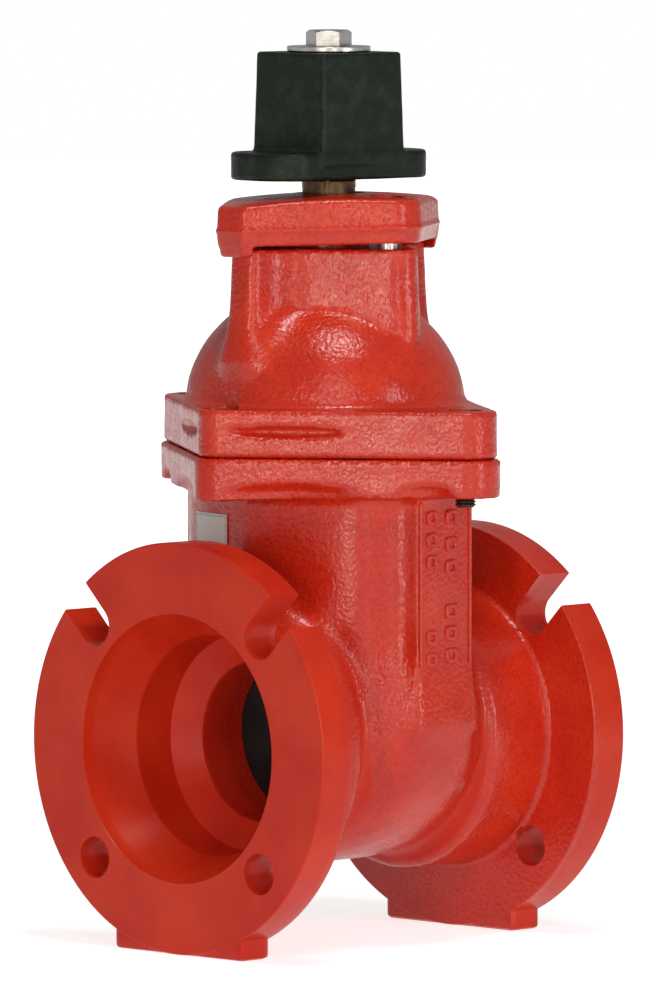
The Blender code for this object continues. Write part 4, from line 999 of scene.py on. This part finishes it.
def make_floor():
    n = Nodes("pale_floor")
    pale = n.mix(n.noise(300.0), (0.86, 0.86, 0.86), (0.90, 0.90, 0.90))
    seen = n.node("ShaderNodeLightPath").outputs["Is Camera Ray"]
    mirrored = n.math("MULTIPLY", n.node("ShaderNodeLightPath").outputs["Is Glossy Ray"], 0.75)
    from_middle = n.node("ShaderNodeVectorMath", operation="LENGTH")
    n.feed(from_middle.inputs[0], n.place)
    white = n.ramp(from_middle.outputs["Value"], 0.3, 2.0, 0.85, 1.3)
    glow = n.ramp(n.math("MAXIMUM", seen, mirrored), 0.0, 1.0, 0.26, white)
    material = n.set(Base_Color=pale, Roughness=0.6, Emission_Color=pale, Emission_Strength=glow)
    mesh = bpy.data.meshes.new("studio_floor")
    turns = [math.pi * i / 32 for i in range(64)]
    points = [(FLOOR_R * math.cos(turn), FLOOR_R * math.sin(turn), 0.0) for turn in turns]
    mesh.from_pydata(points, [], [list(range(64))])
    mesh.shade_smooth()
    mesh.materials.append(material)
    floor = bpy.data.objects.new("studio_floor", mesh)
    bpy.context.scene.collection.objects.link(floor)


def make_studio():
    world = bpy.data.worlds.new("studio")
    world.use_nodes = True
    tree = world.node_tree
    background = tree.nodes["Background"]
    background.inputs[0].default_value = (1.0, 1.0, 1.0, 1.0)
    path = tree.nodes.new("ShaderNodeLightPath")
    mirrored = tree.nodes.new("ShaderNodeMath")
    mirrored.operation = "MULTIPLY_ADD"
    mirrored.inputs[1].default_value = 0.25
    mirrored.inputs[2].default_value = 0.08
    strength = tree.nodes.new("ShaderNodeMath")
    strength.operation = "MAXIMUM"
    tree.links.new(path.outputs["Is Glossy Ray"], mirrored.inputs[0])
    tree.links.new(path.outputs["Is Camera Ray"], strength.inputs[0])
    tree.links.new(mirrored.outputs[0], strength.inputs[1])
    tree.links.new(strength.outputs[0], background.inputs[1])
    bpy.context.scene.world = world
    middle = (0.0, 0.0, 0.2)
    area_light("low_strip", (-2.25, -1.20, 0.45), middle, (0.30, 0.70), 10.5, WARM)
    area_light("plate_strip", (-1.27, -2.21, 0.62), middle, (0.22, 0.5), 5.5, WARM)
    area_light("front_softbox", (-1.9, -1.9, 1.6), middle, (0.6, 0.6), 8.0)
    area_light("right_strip", (0.3, -2.5, 0.5), middle, (0.16, 1.2), 12.0)
    area_light("top_softbox", (-0.4, -0.6, 2.3), middle, (0.5, 0.5), 17.0)
    make_floor()
    bpy.context.scene.view_settings.view_transform = "Standard"


def make_camera():
    """The view from the front left corner, a little above the pipe axis, with a long lens."""
    azimuth, elevation = math.radians(-45.26), math.radians(4.14)
    distance, shift_right, shift_up = 5.3226, -0.00085, 0.11284
    right = Vector((math.cos(azimuth), math.sin(azimuth), 0.0))
    level, height = math.cos(elevation), math.sin(elevation)
    back = Vector((math.sin(azimuth) * level, -math.cos(azimuth) * level, height))
    up = back.cross(right)
    data = bpy.data.cameras.new("camera")
    data.sensor_width = 36.0
    data.lens = 398.7
    data.clip_start, data.clip_end = 0.1, 50.0
    camera = bpy.data.objects.new("camera", data)
    camera.location = Vector((0.0, 0.0, AXIS_Z * MM)) + back * distance + right * shift_right + up * shift_up
    camera.rotation_mode = "QUATERNION"
    camera.rotation_quaternion = Matrix((right, up, back)).transposed().to_quaternion()
    bpy.context.scene.collection.objects.link(camera)
    bpy.context.scene.camera = camera


looks = {
    "red_epoxy": red_epoxy(),
    "black_iron": black_iron(),
    "stem_bronze": turned_metal("stem_bronze_turned", (0.10, 0.060, 0.028), (0.20, 0.135, 0.070), 0.42, 0.85),
    "zinc_steel": turned_metal("zinc_plate", (0.42, 0.42, 0.40), (0.62, 0.61, 0.57), 0.30, 1.0),
    # Painted shade: a dark copy of the zinc steel for the bonnet screws, standing in for the shadow under the
    # flange where their ends show.
    "shaded_zinc_steel": turned_metal("shaded_zinc_steel", (0.045, 0.030, 0.022), (0.11, 0.080, 0.060), 0.42, 0.8),
    "black_rubber": soft_material("moulded_rubber", (0.008,) * 3, (0.018,) * 3, 0.62, 0.9, 0.03),
    "white_plastic": soft_material("white_nylon", (0.66, 0.66, 0.62), (0.78, 0.78, 0.74), 0.45, 1.4, 0.02),
    "label_white": label_film(),
}
dress_nodes(looks)
make_body(looks["red_epoxy"])
make_bonnet(looks["red_epoxy"])
make_plate(looks["red_epoxy"])
make_nut(looks["black_iron"])
make_stem(looks["stem_bronze"])
make_washer(looks["zinc_steel"])
make_hex_bolt(looks["zinc_steel"])
make_screws(looks["zinc_steel"], looks["shaded_zinc_steel"])
make_studio()
make_camera()
